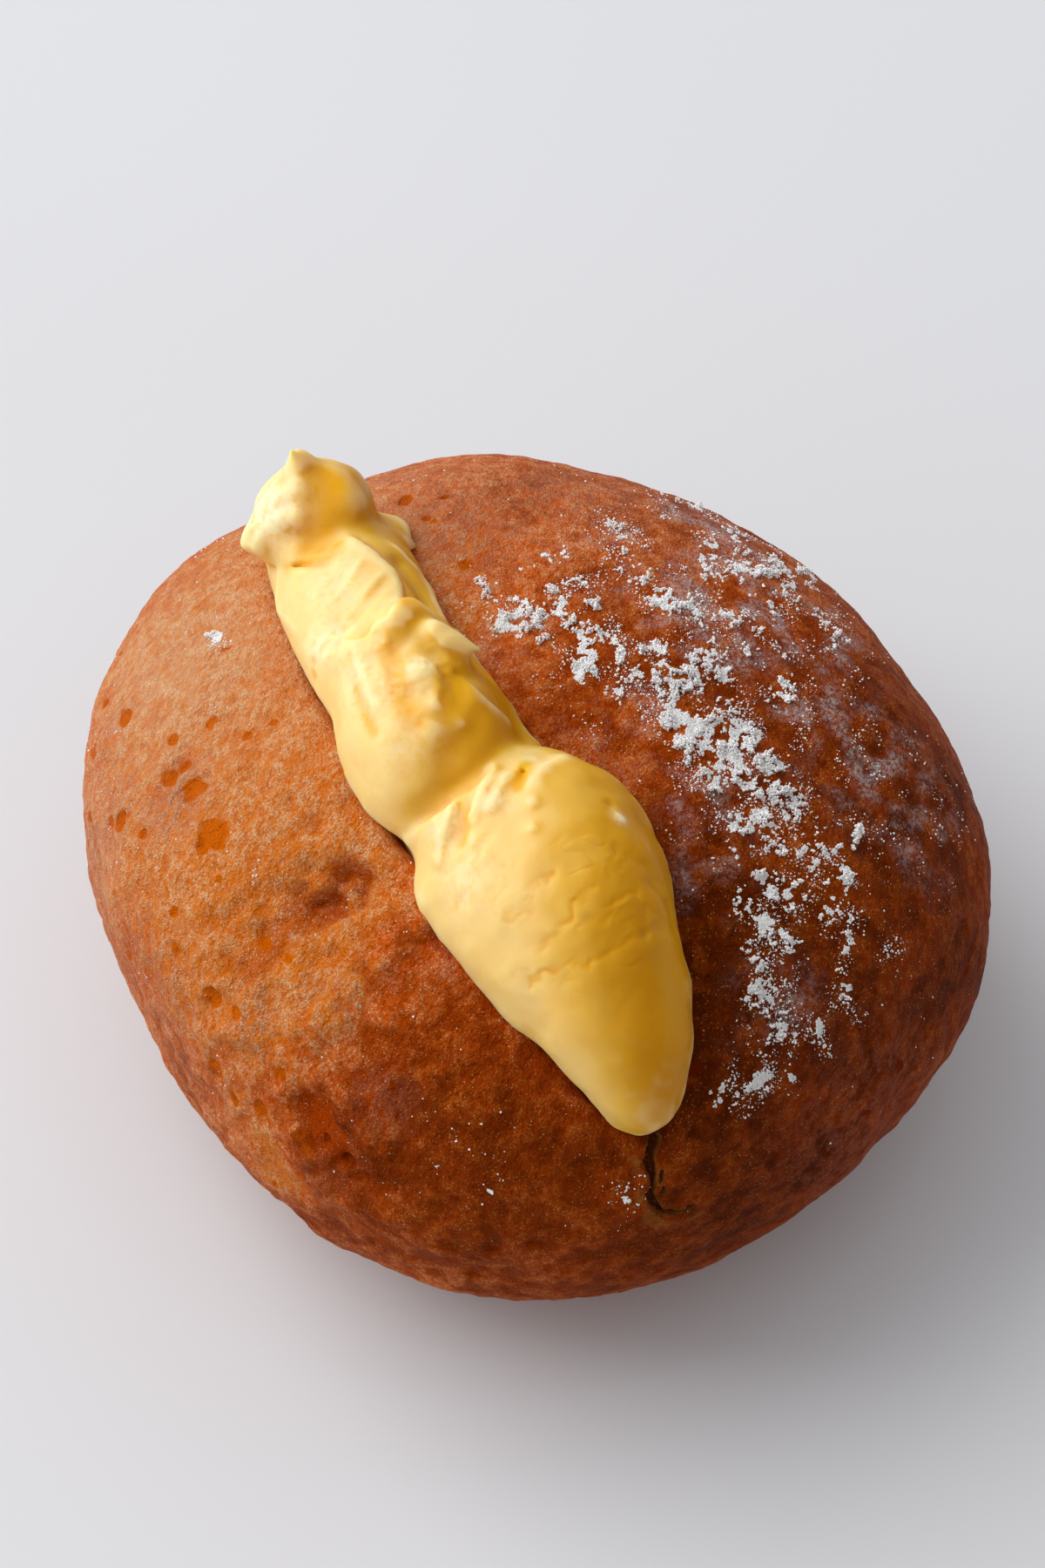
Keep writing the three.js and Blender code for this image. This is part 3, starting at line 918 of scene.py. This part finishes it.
# lines of headings and levels that the sugar fell along, half its width and how well it covers
DRIFTS = (
    (((88, 63),), 1, 0.7), (((86, 66), (83, 68)), 1, 0.65), (((73, 61), (66, 61)), 0.7, 0.55),
    (((60, 60), (57, 59)), 0.9, 0.5), (((50, 65), (45, 65)), 0.9, 0.55),
    (((55, 69), (52, 72)), 1.1, 0.6), (((36, 70), (31, 70)), 0.8, 0.5),
    (((82, 74), (74, 73), (67, 74)), 1.5, 0.85), (((72, 71), (72, 77)), 1.2, 0.75),
    (((50, 80), (41, 82)), 0.9, 0.4), (((40, 75), (26, 75), (16, 74), (11, 72)), 1.1, 0.85),
    (((21, 75), (8, 79), (343, 81)), 1.3, 0.9), (((326, 75), (321, 74)), 0.8, 0.38),
    (((357, 72), (345, 73)), 1.2, 0.55), (((340, 71), (351, 69), (355, 67)), 1.2, 0.62),
    (((336, 66), (341, 63), (348, 60)), 1.9, 0.92), (((344, 61), (342, 57)), 1.6, 0.8),
    (((335, 57), (333, 57)), 0.9, 0.7), (((16, 60), (15, 58), (11, 56)), 1.5, 0.8),
    (((48, 46), (45, 47)), 0.8, 0.45), (((40, 48), (37, 49)), 0.9, 0.5),
    (((40, 54), (39, 54)), 1, 0.45), (((33, 57), (30, 58)), 1.2, 0.4), (((26, 40),), 0.9, 0.45),
    (((20, 36), (18, 33)), 1.4, 0.42), (((19, 43), (16, 42)), 1.2, 0.42),
    (((11, 34), (15, 25)), 1.2, 0.4), (((4, 51), (2, 50)), 1.1, 0.55),
    (((3, 56), (358, 56)), 1.1, 0.42), (((3, 42),), 1, 0.45), (((359, 48),), 1.1, 0.42),
    (((338, 48), (342, 46)), 1.3, 0.6), (((319, 64.5), (317, 62), (321, 58)), 1.6, 1),
    (((321, 58), (326, 55), (324, 52)), 1.3, 0.84),
    (((312, 61), (313, 58), (315, 54), (319, 53)), 1.7, 0.95),
    (((306, 54.5), (310, 53), (311, 50), (317, 49)), 1.5, 0.9),
    (((309, 50), (312, 47), (312, 44)), 1.5, 0.8), (((308, 44), (304, 46), (297, 48)), 1.2, 0.74),
    (((304, 44), (301, 43)), 1.1, 0.46), (((294, 45), (297, 43)), 0.8, 0.5),
    (((309, 41), (308, 40), (308, 38)), 1.3, 0.66), (((303, 38), (306, 37), (308, 35)), 1.1, 0.6),
    (((307, 33), (305, 32)), 1, 0.68), (((315, 34), (312, 33)), 0.7, 0.52), (((289, 41),), 0.8, 0.5),
    (((294, 41), (294, 39), (297, 37), (296, 36)), 1, 0.7), (((287, 40), (290, 38)), 1, 0.58),
    (((289, 37), (288, 35), (289, 33)), 1.2, 0.68), (((284, 35), (284, 33)), 1, 0.7),
    (((301, 35), (299, 33)), 1, 0.54), (((298, 32), (301, 30)), 0.8, 0.58),
    (((298, 28), (297, 27)), 0.7, 0.45), (((294, 26),), 0.7, 0.54), (((293, 24), (292, 23)), 0.8, 0.62),
    (((291, 21),), 0.8, 0.5), (((280, 30), (282, 30), (283, 29)), 1.2, 0.82),
    (((279, 29), (283, 27)), 0.9, 0.58), (((281, 25), (283, 24)), 0.9, 0.5),
    (((287, 23), (286, 21)), 0.9, 0.56), (((302, 23),), 0.7, 0.7), (((275, 21), (277, 21)), 1.1, 0.75),
    (((279, 20), (281, 19)), 0.5, 0.6), (((270, 21), (272, 21)), 1, 0.5), (((276, 19),), 0.8, 0.45),
    (((25, 42), (21, 45), (18, 46)), 1.1, 0.48), (((28, 31), (21, 38)), 1.1, 0.38),
    (((18, 42), (16, 38), (15, 32)), 1.7, 0.62), (((8, 43), (8, 37)), 1.4, 0.62),
    (((24, 51), (27, 52)), 1, 0.42), (((46, 48), (42, 49)), 1, 0.5), (((42, 29), (38, 26)), 0.9, 0.42),
    (((351, 50),), 1, 0.45), (((353, 45), (350, 44)), 1.1, 0.45),
    (((5, 36), (0, 34), (356, 34)), 1.2, 0.5), (((14, 57), (9, 56)), 1.3, 0.6),
    (((136, 33), (137, 34)), 0.9, 0.85), (((153, 37), (154, 37)), 0.3, 0.6),
    (((189, 36), (190, 36)), 0.3, 0.6), (((238, 19), (239, 18)), 0.6, 0.7),
    (((235, 15), (236, 15)), 0.6, 0.7), (((241, 15), (241, 14)), 0.5, 0.65),
    (((255, 16), (256, 16)), 0.4, 0.6), (((257, 12), (258, 10)), 0.7, 0.65),
)
GRAIN_TRIES = 140000
GRAIN_COUNT = 24000
GRAIN_RADII = (0.06, 0.16)
HEAP_HEIGHT = 0.7
SPECK_TRIES = 26000
SPECK_RADII = (0.04, 0.14)
STRAY_SPECKS = 0.005


def thickness(points):
    """How thickly the sugar fell at each point, from 0 to 1."""
    cover = np.zeros(len(points))
    for line, width, strength in DRIFTS:
        gap = line_distance(points, crust_line(*line))
        cover = np.maximum(cover, strength * (1 - smooth_step(0.3 * width, 1.7 * width, gap)))
    return cover


def clumping(points):
    """How likely a grain is to lie at each point, from 0 to 1."""
    clumps = 0.35 * noise(points, 1.5, 61) + 0.6 * noise(points, 0.7, 62) + 0.6 * noise(points, 0.35, 63)
    return smooth_step(0.62, 1.0, thickness(points) + 0.6 * clumps)


# a grain is a rough octahedron
GRAIN_POINTS = np.array([(1, 0, 0), (-1, 0, 0), (0, 1, 0), (0, -1, 0), (0, 0, 1), (0, 0, -1)], float)
GRAIN_FACES = np.array([
    (0, 2, 4), (2, 1, 4), (1, 3, 4), (3, 0, 4),
    (2, 0, 5), (1, 2, 5), (3, 1, 5), (0, 3, 5),
])


def scatter_over(piece, share, chance, tries, luck):
    """Random points on the piece and their normals. share(points) says how many fall where,
    and each one stays with the chance that chance(points) gives."""
    points, faces = triangles_of(piece.data)
    a, b, c = points[faces.T]
    cross = np.cross(b - a, c - a)
    weight = np.linalg.norm(cross, axis=1) * share((a + b + c) / 3)
    picked = luck.choice(len(weight), tries, p=weight / weight.sum())
    u, v = luck.random(tries), luck.random(tries)
    over = u + v > 1
    u, v = np.where(over, 1 - u, u), np.where(over, 1 - v, v)
    places = a[picked] + u[:, None] * (b - a)[picked] + v[:, None] * (c - a)[picked]
    outward = cross[picked] / np.linalg.norm(cross[picked], axis=1, keepdims=True)
    kept = luck.random(tries) < chance(places)
    return places[kept], outward[kept]


def grains(places, radii, luck):
    """Rough grains at the places, turned every way."""
    turns = np.linalg.qr(luck.normal(size=(len(places), 3, 3)))[0]
    turns[:, :, 0] *= np.linalg.det(turns)[:, None]
    rough = GRAIN_POINTS[None] * luck.uniform(0.75, 1.35, (len(places), len(GRAIN_POINTS), 1))
    points = places[:, None] + np.einsum("nij,nkj->nki", turns, rough) * radii[:, None, None]
    starts = np.arange(len(places))[:, None, None] * len(GRAIN_POINTS)
    return points.reshape(-1, 3), (GRAIN_FACES[None] + starts).reshape(-1, 3)


def sugared(points):
    """1 where any sugar fell and 0 elsewhere."""
    return thickness(points) > 0.02


def make_sugar(crust):
    """Clumps of icing sugar, heaped up where it fell thickly."""
    luck = np.random.default_rng(SEED + 1)
    places, outward = scatter_over(crust, sugared, clumping, GRAIN_TRIES, luck)
    places, outward = places[:GRAIN_COUNT], outward[:GRAIN_COUNT]
    heap = smooth_step(-0.4, 0.8, noise(places, 1.1, 64)) * luck.random(len(places))
    places = places + outward * (HEAP_HEIGHT * heap)[:, None]
    points, faces = grains(places, luck.uniform(*GRAIN_RADII, len(places)), luck)
    make_piece("icing_sugar", points, faces.tolist(), {}, sugar_material())


def dust_share(points):
    """Where single specks of sugar lie: everywhere a few, and more near the drifts."""
    cover = np.maximum(STRAY_SPECKS, 0.25 * patched(points, FILMS, on_crust))
    for line, width, strength in DRIFTS:
        gap = line_distance(points, crust_line(*line))
        cover = np.maximum(cover, 0.5 * strength * bell(gap, 2.2 * width))
    return cover * smooth_step(26, 34, points[:, 2])


def speck_chance(points):
    """How likely a speck is to stay at each point: in patches."""
    return smooth_step(-0.2, 0.7, noise(points, 2.0, 71))


def make_dust(crust):
    """Single specks of icing sugar, most of them tiny."""
    luck = np.random.default_rng(SEED + 2)
    places, outward = scatter_over(crust, dust_share, speck_chance, SPECK_TRIES, luck)
    least, most = SPECK_RADII
    radii = least + (most - least) * luck.random(len(places)) ** 3
    points, faces = grains(places + 0.3 * outward * radii[:, None], radii, luck)
    make_piece("sugar_specks", points, faces.tolist(), {}, sugar_material())


# ---------------------------------------------------------------- materials

def srgb(red, green, blue):
    """A screen colour, 0 to 255, as the linear colour that shaders take."""
    def linear(value):
        share = value / 255
        return share / 12.92 if share <= 0.04045 else ((share + 0.055) / 1.055) ** 2.4
    return (linear(red), linear(green), linear(blue), 1)


class Nodes:
    """The node tree of a material or a world, built by short calls. Colours are screen colours."""

    def __init__(self, owner):
        owner.use_nodes = True
        self.owner = owner
        self.tree = owner.node_tree
        self.place = self.node("TexCoord").outputs["Object"]

    def link(self, value, socket):
        """Links another node's output to the socket, or sets the socket to a plain value."""
        if isinstance(value, bpy.types.NodeSocket):
            self.tree.links.new(value, socket)
        else:
            socket.default_value = value

    def set(self, node, **values):
        """Gives a node its inputs; Base_Color stands for Base Color, and so on."""
        for name, value in values.items():
            self.link(value, node.inputs[name.replace("_", " ")])

    def node(self, kind, **values):
        """A new node with those inputs."""
        node = self.tree.nodes.new("ShaderNode" + kind)
        self.set(node, **values)
        return node

    def finished(self, **values):
        """The material, with those inputs on its shader."""
        self.set(self.tree.nodes["Principled BSDF"], **values)
        return self.owner

    def noise(self, size_mm, detail=2.0, roughness=0.5, place=None):
        """Noise whose lumps are about size_mm apart."""
        return self.node("TexNoise", Vector=place or self.place, Scale=1 / (size_mm * MM),
                         Detail=detail, Roughness=roughness).outputs["Fac"]

    def beads(self, size_mm):
        """How far the nearest of many scattered points is: 0 at a point, about 0.5 between them."""
        return self.node("TexVoronoi", Vector=self.place, Scale=1 / (size_mm * MM)).outputs["Distance"]

    def vector_math(self, operation, first, second):
        """A node that works on two vectors, or for SCALE on a vector and a number."""
        node = self.node("VectorMath")
        node.operation = operation
        self.link(first, node.inputs[0])
        self.link(second, node.inputs["Scale" if operation == "SCALE" else 1])
        return node

    def dot(self, vector, way):
        """How far the vector reaches along way."""
        return self.vector_math("DOT_PRODUCT", vector, way).outputs["Value"]

    def drawn_out(self, way, share):
        """The place squeezed to share along way, so that noise there is drawn out along it."""
        squeeze = self.times(self.dot(self.place, way), share - 1)
        shift = self.vector_math("SCALE", way, squeeze).outputs["Vector"]
        return self.vector_math("ADD", self.place, shift).outputs["Vector"]

    def mark(self, name):
        """One of the mesh's named values."""
        node = self.node("Attribute")
        node.attribute_name = name
        return node.outputs["Fac"]

    def ramp(self, value, low, high, to_low=0.0, to_high=1.0, curve="SMOOTHSTEP"):
        """value, stretched from low..high to to_low..to_high, smoothly unless curve is LINEAR."""
        node = self.node("MapRange")
        node.interpolation_type = curve
        self.set(node, Value=value, From_Min=low, From_Max=high, To_Min=to_low, To_Max=to_high)
        return node.outputs["Result"]

    def math(self, operation, result, *others):
        """The first value after the operation with each of the others in turn."""
        for other in others:
            node = self.node("Math")
            node.operation = operation
            self.link(result, node.inputs[0])
            self.link(other, node.inputs[1])
            result = node.outputs[0]
        return result

    def times(self, *values):
        return self.math("MULTIPLY", *values)

    def plus(self, *values):
        return self.math("ADD", *values)

    def mix(self, share, a, b):
        """Colour a turning into colour b as share goes from 0 to 1."""
        node = self.node("Mix")
        node.data_type = "RGBA"
        a, b = (srgb(*colour) if isinstance(colour, tuple) else colour for colour in (a, b))
        self.set(node, Factor=share, A=a, B=b)
        return node.outputs["Result"]

    def layered(self, base, *layers):
        """The base colour under the layers in turn, each a share and a colour."""
        for share, colour in layers:
            base = self.mix(share, base, colour)
        return base

    def colours(self, value, *stops):
        """A colour that follows value through the stops, each a value and a colour."""
        node = self.node("ValToRGB", Fac=value)
        ramp = node.color_ramp
        while len(ramp.elements) < len(stops):
            ramp.elements.new(0.5)
        for element, (place, colour) in zip(ramp.elements, stops):
            element.position = place
        for element, (place, colour) in zip(ramp.elements, stops):
            element.color = srgb(*colour)
        return node.outputs["Color"]

    def bump(self, height, depth_mm, strength=1.0):
        """Fine relief that is left to the shading."""
        node = self.node("Bump", Height=height, Distance=depth_mm * MM, Strength=strength)
        return node.outputs["Normal"]


# the way that the crust's grain is drawn out
STREAKS = (0.58, 0.60, 0.55)


def crust_material():
    """Fried dough: clear amber-brown under a broken film of fine pale blisters, with painted glints and
    highlights on the film, painted shade in its crinkles, dents and crack, and a painted pale sheen
    towards the window.
    """
    m = Nodes(bpy.data.materials.new("fried_crust"))
    streaks = m.drawn_out(STREAKS, 0.65)
    patchy = m.noise(1.0, 4, 0.65, streaks)
    crinkle = m.noise(0.6, 4, 0.65, streaks)
    rise = m.mark("rise")
    pit = m.mark("pit")
    # painted shade: the crust is browner in the troughs of its waves and paler on their crests
    brown = m.plus(m.mark("brown"), m.ramp(rise, 0.2, 0.75, 0.07, -0.05),
                   m.ramp(m.noise(1.8, 4, 0.65, streaks), 0.34, 0.66, -0.07, 0.07))
    clear = m.colours(brown, (0.05, (246, 128, 16)), (0.35, (232, 98, 0)),
                      (0.65, (172, 62, 0)), (1.0, (106, 36, 0)))
    blister_and_highlight_colour = m.colours(brown, (0.05, (255, 202, 150)), (0.35, (255, 178, 120)),
                        (0.65, (220, 126, 42)), (1.0, (134, 66, 0)))
    deep = m.colours(brown, (0.1, (214, 88, 2)), (0.45, (170, 58, 0)), (1.0, (84, 26, 0)))
    bubble = m.colours(brown, (0.2, (232, 108, 2)), (0.8, (136, 40, 0)))
    painted_spark_colour = m.colours(brown, (0.3, (255, 222, 178)), (0.8, (240, 154, 80)))
    outside_pits = m.ramp(pit, 0.1, 0.5, 1.0, 0.0)

    grain = m.plus(m.ramp(m.beads(0.26), 0.38, 0.60, 0.6, 0.0),
                   m.ramp(m.noise(0.11, 3, 0.7), 0.40, 0.60, 0.0, 0.6))
    patch = m.times(m.ramp(patchy, 0.38, 0.58, 0.2, 1.0),
                    m.ramp(m.noise(2.2, 3, 0.55, streaks), 0.36, 0.60, 0.7, 1.0))
    # the pale film is partly the crust's own blisters and partly a painted highlight, thickest on the
    # crests of the waves and crinkles
    film = m.times(m.ramp(grain, 0.2, 0.95, 0.15, 1.0), patch, m.ramp(brown, 0.25, 0.8, 1.0, 0.5),
                   outside_pits, m.ramp(crinkle, 0.40, 0.56, 0.4, 1.0),
                   m.ramp(rise, 0.25, 0.65, 0.55, 1.1))
    bruise = m.times(m.mark("bruise"), m.ramp(patchy, 0.36, 0.58))
    # painted glints: small bright dots in the base colour stand for the window's glints on the blisters
    painted_glint = m.times(m.ramp(m.beads(0.36), 0.14, 0.28, 1.0, 0.0), patch,
                    m.ramp(brown, 0.3, 0.8, 0.8, 0.5), outside_pits)
    dust = m.times(m.mark("dust"), m.ramp(m.noise(0.5, 4, 0.7), 0.38, 0.62, 0.2, 1.0))
    base = m.layered(
        clear,
        (film, blister_and_highlight_colour),
        # painted shade: the colour is deepened in the valleys of the crinkled relief
        (m.ramp(crinkle, 0.36, 0.48, 0.45, 0.0), deep),
        # purplish tone and, on the left rim, a painted pale sheen
        (m.ramp(bruise, 0.0, 1.0, 0.0, 0.5), (186, 104, 82)),
        # painted sheen: a pale sheen on the side towards the window
        (m.times(m.mark("sheen"), m.ramp(patchy, 0.3, 0.6, 0.5, 1.0)), (255, 210, 166)),
        # painted shade: the dents and valleys are darkened
        (m.ramp(m.mark("hollow"), 0.2, 0.9, 0.0, 0.8), (196, 72, 0)),
        (m.ramp(pit, 0.15, 0.6, 0.0, 0.9), bubble),
        (m.ramp(m.mark("crumb"), 0.3, 0.9, 0.0, 0.7), (178, 108, 48)),
        # painted shade: the inside of the crack is darkened
        (m.ramp(m.mark("split"), 0.3, 0.9), (116, 56, 22)),
        (painted_glint, painted_spark_colour),
        (m.ramp(dust, 0.0, 1.0, 0.0, 0.65), (220, 206, 202)),
    )
    relief = m.plus(m.noise(0.2, 3, 0.6), m.times(crinkle, 2.2), m.times(m.beads(0.26), -0.25))
    return m.finished(
        Base_Color=base,
        Roughness=m.ramp(pit, 0.1, 0.6, 0.45, 0.3),
        Specular_IOR_Level=0.02,
        Subsurface_Weight=0.05,
        Subsurface_Radius=(1.0, 0.35, 0.12),
        Subsurface_Scale=1.0 * MM,
        Normal=m.bump(relief, 0.55),
    )


def custard_material():
    """Thick custard: cream where it is drawn out and as a painted highlight on its ridges and brightest
    stretches, painted amber shade in its hollows, valleys, wrinkles and on the side turned from the
    window, with a soft wet shine.
    """
    m = Nodes(bpy.data.materials.new("custard_cream"))
    # painted shade: the colour turns from cream to amber on the side turned away from the window
    painted_shade_share = m.plus(m.mark("shade"), m.ramp(m.noise(6, 2, 0.5), 0.3, 0.7, -0.05, 0.05))
    base = m.colours(painted_shade_share, (0.0, (250, 209, 132)), (0.3, (236, 187, 78)),
                     (0.6, (222, 163, 30)), (1.0, (210, 142, 10)))
    cream = m.times(m.mark("cream"), m.ramp(m.noise(1.0, 4, 0.6), 0.35, 0.55, 0.3, 1.0))
    base = m.layered(
        base,
        # painted highlight: the ridges are made paler
        (m.ramp(m.mark("ridge"), 0.0, 1.0, 0.0, 0.5), (249, 226, 172)),
        # painted shade: the hollows are made a deeper amber
        (m.ramp(m.mark("hollow"), 0.0, 1.0, 0.0, 0.8), (236, 176, 10)),
        # painted shade: a deeper yellow along the valleys and wrinkles
        (m.ramp(m.mark("amber"), 0.0, 1.0, 0.0, 0.92), (238, 172, 0)),
        (cream, (255, 240, 204)),
    )
    return m.finished(
        Base_Color=base,
        Roughness=m.ramp(m.noise(1.2, 3, 0.6), 0.3, 0.7, 0.28, 0.42),
        Specular_IOR_Level=0.12,
        Subsurface_Weight=0.75,
        Subsurface_Radius=(1.0, 0.8, 0.15),
        Subsurface_Scale=2.5 * MM,
        Normal=m.bump(m.noise(0.6, 3, 0.6), 0.07, 0.6),
    )


def sugar_material():
    """Icing sugar: matt, white and faintly see-through. Made once, for the clumps and the specks."""
    name = "icing_sugar_white"
    if name in bpy.data.materials:
        return bpy.data.materials[name]
    m = Nodes(bpy.data.materials.new(name))
    return m.finished(
        Base_Color=m.mix(m.ramp(m.noise(0.4, 2), 0.3, 0.7), (253, 250, 247), (255, 255, 254)),
        Roughness=0.8,
        Subsurface_Weight=0.3,
        Subsurface_Radius=(1.0, 0.95, 0.9),
        Subsurface_Scale=0.8 * MM,
    )


def floor_material():
    """A plain pale table."""
    m = Nodes(bpy.data.materials.new("pale_table"))
    pale = m.mix(m.ramp(m.noise(180, 1), 0.3, 0.7), (217, 217, 219), (220, 220, 222))
    return m.finished(Base_Color=pale, Roughness=0.6)


# ---------------------------------------------------------------- the room

# angles in degrees; the view in millimetres, the window and the floor in metres
AIM_OFFSET = (1.05, 4.86, -0.73)
VIEW_AZIMUTH = -24
VIEW_ELEVATION = 55
VIEW_DISTANCE = 373
LENS = 85
FILM_HEIGHT = 36
NEAREST_SEEN = 10
WINDOW_AZIMUTH = -138
WINDOW_ELEVATION = 42
WINDOW_DISTANCE = 2.0
WINDOW_SIZE = 1.9
WINDOW_POWER = 35
SKY_DIM = 0.08
SKY_BRIGHT = 0.88
SKY_ELEVATION = 45
WARM_SKY = (255, 222, 192)
COOL_SKY = (238, 241, 245)
FLOOR_REACH = 3.0


def way_to(azimuth, elevation):
    """The direction towards a camera or lamp; a camera at azimuth 0 looks along +Y."""
    return Vector(heading_of(azimuth - 90, elevation))


def stand(data, place, target):
    """Puts a camera or lamp at a place, turned to the target."""
    thing = placed(data.name, data)
    thing.location = place
    thing.rotation_euler = (target - place).to_track_quat("-Z", "Y").to_euler()
    return thing


def make_camera(middle):
    """The photo's view."""
    data = bpy.data.cameras.new("camera")
    data.lens = LENS
    data.sensor_fit = "VERTICAL"
    data.sensor_height = FILM_HEIGHT
    data.clip_start = NEAREST_SEEN * MM
    aim = middle + Vector(AIM_OFFSET) * MM
    place = aim + way_to(VIEW_AZIMUTH, VIEW_ELEVATION) * VIEW_DISTANCE * MM
    bpy.context.scene.camera = stand(data, place, aim)


def make_window(middle):
    """The large soft lamp that lights the left side."""
    data = bpy.data.lights.new("window", "AREA")
    data.shape = "SQUARE"
    data.size = WINDOW_SIZE
    data.energy = WINDOW_POWER
    stand(data, middle + way_to(WINDOW_AZIMUTH, WINDOW_ELEVATION) * WINDOW_DISTANCE, middle)


def make_sky():
    """Soft light from all round, strongest and coolest from the window's side of the room."""
    sky = Nodes(bpy.data.worlds.new("room"))
    seen = sky.node("TexCoord").outputs["Generated"]
    towards = sky.dot(seen, way_to(WINDOW_AZIMUTH, SKY_ELEVATION))
    coolness = sky.ramp(towards, -1, 0.2, curve="LINEAR")
    sky.set(
        sky.tree.nodes["Background"],
        Color=sky.mix(coolness, WARM_SKY, COOL_SKY),
        Strength=sky.ramp(towards, -1, 1, SKY_DIM, SKY_BRIGHT, curve="LINEAR"),
    )
    bpy.context.scene.world = sky.owner


def make_floor():
    """A wide flat table, which is no part of the object."""
    mesh = bpy.data.meshes.new("floor")
    corners = [(x * FLOOR_REACH, y * FLOOR_REACH, 0) for x, y in ((-1, -1), (1, -1), (1, 1), (-1, 1))]
    mesh.from_pydata(corners, [], [(0, 1, 2, 3)])
    mesh.materials.append(floor_material())
    floor = placed("floor", mesh)


middle = (cad_box[0] + cad_box[1]) / 2
make_camera(middle)
make_floor()
make_window(middle)
make_sky()
bpy.context.scene.view_settings.view_transform = "Standard"
crust = make_crust()
make_custard()
make_sugar(crust)
make_dust(crust)
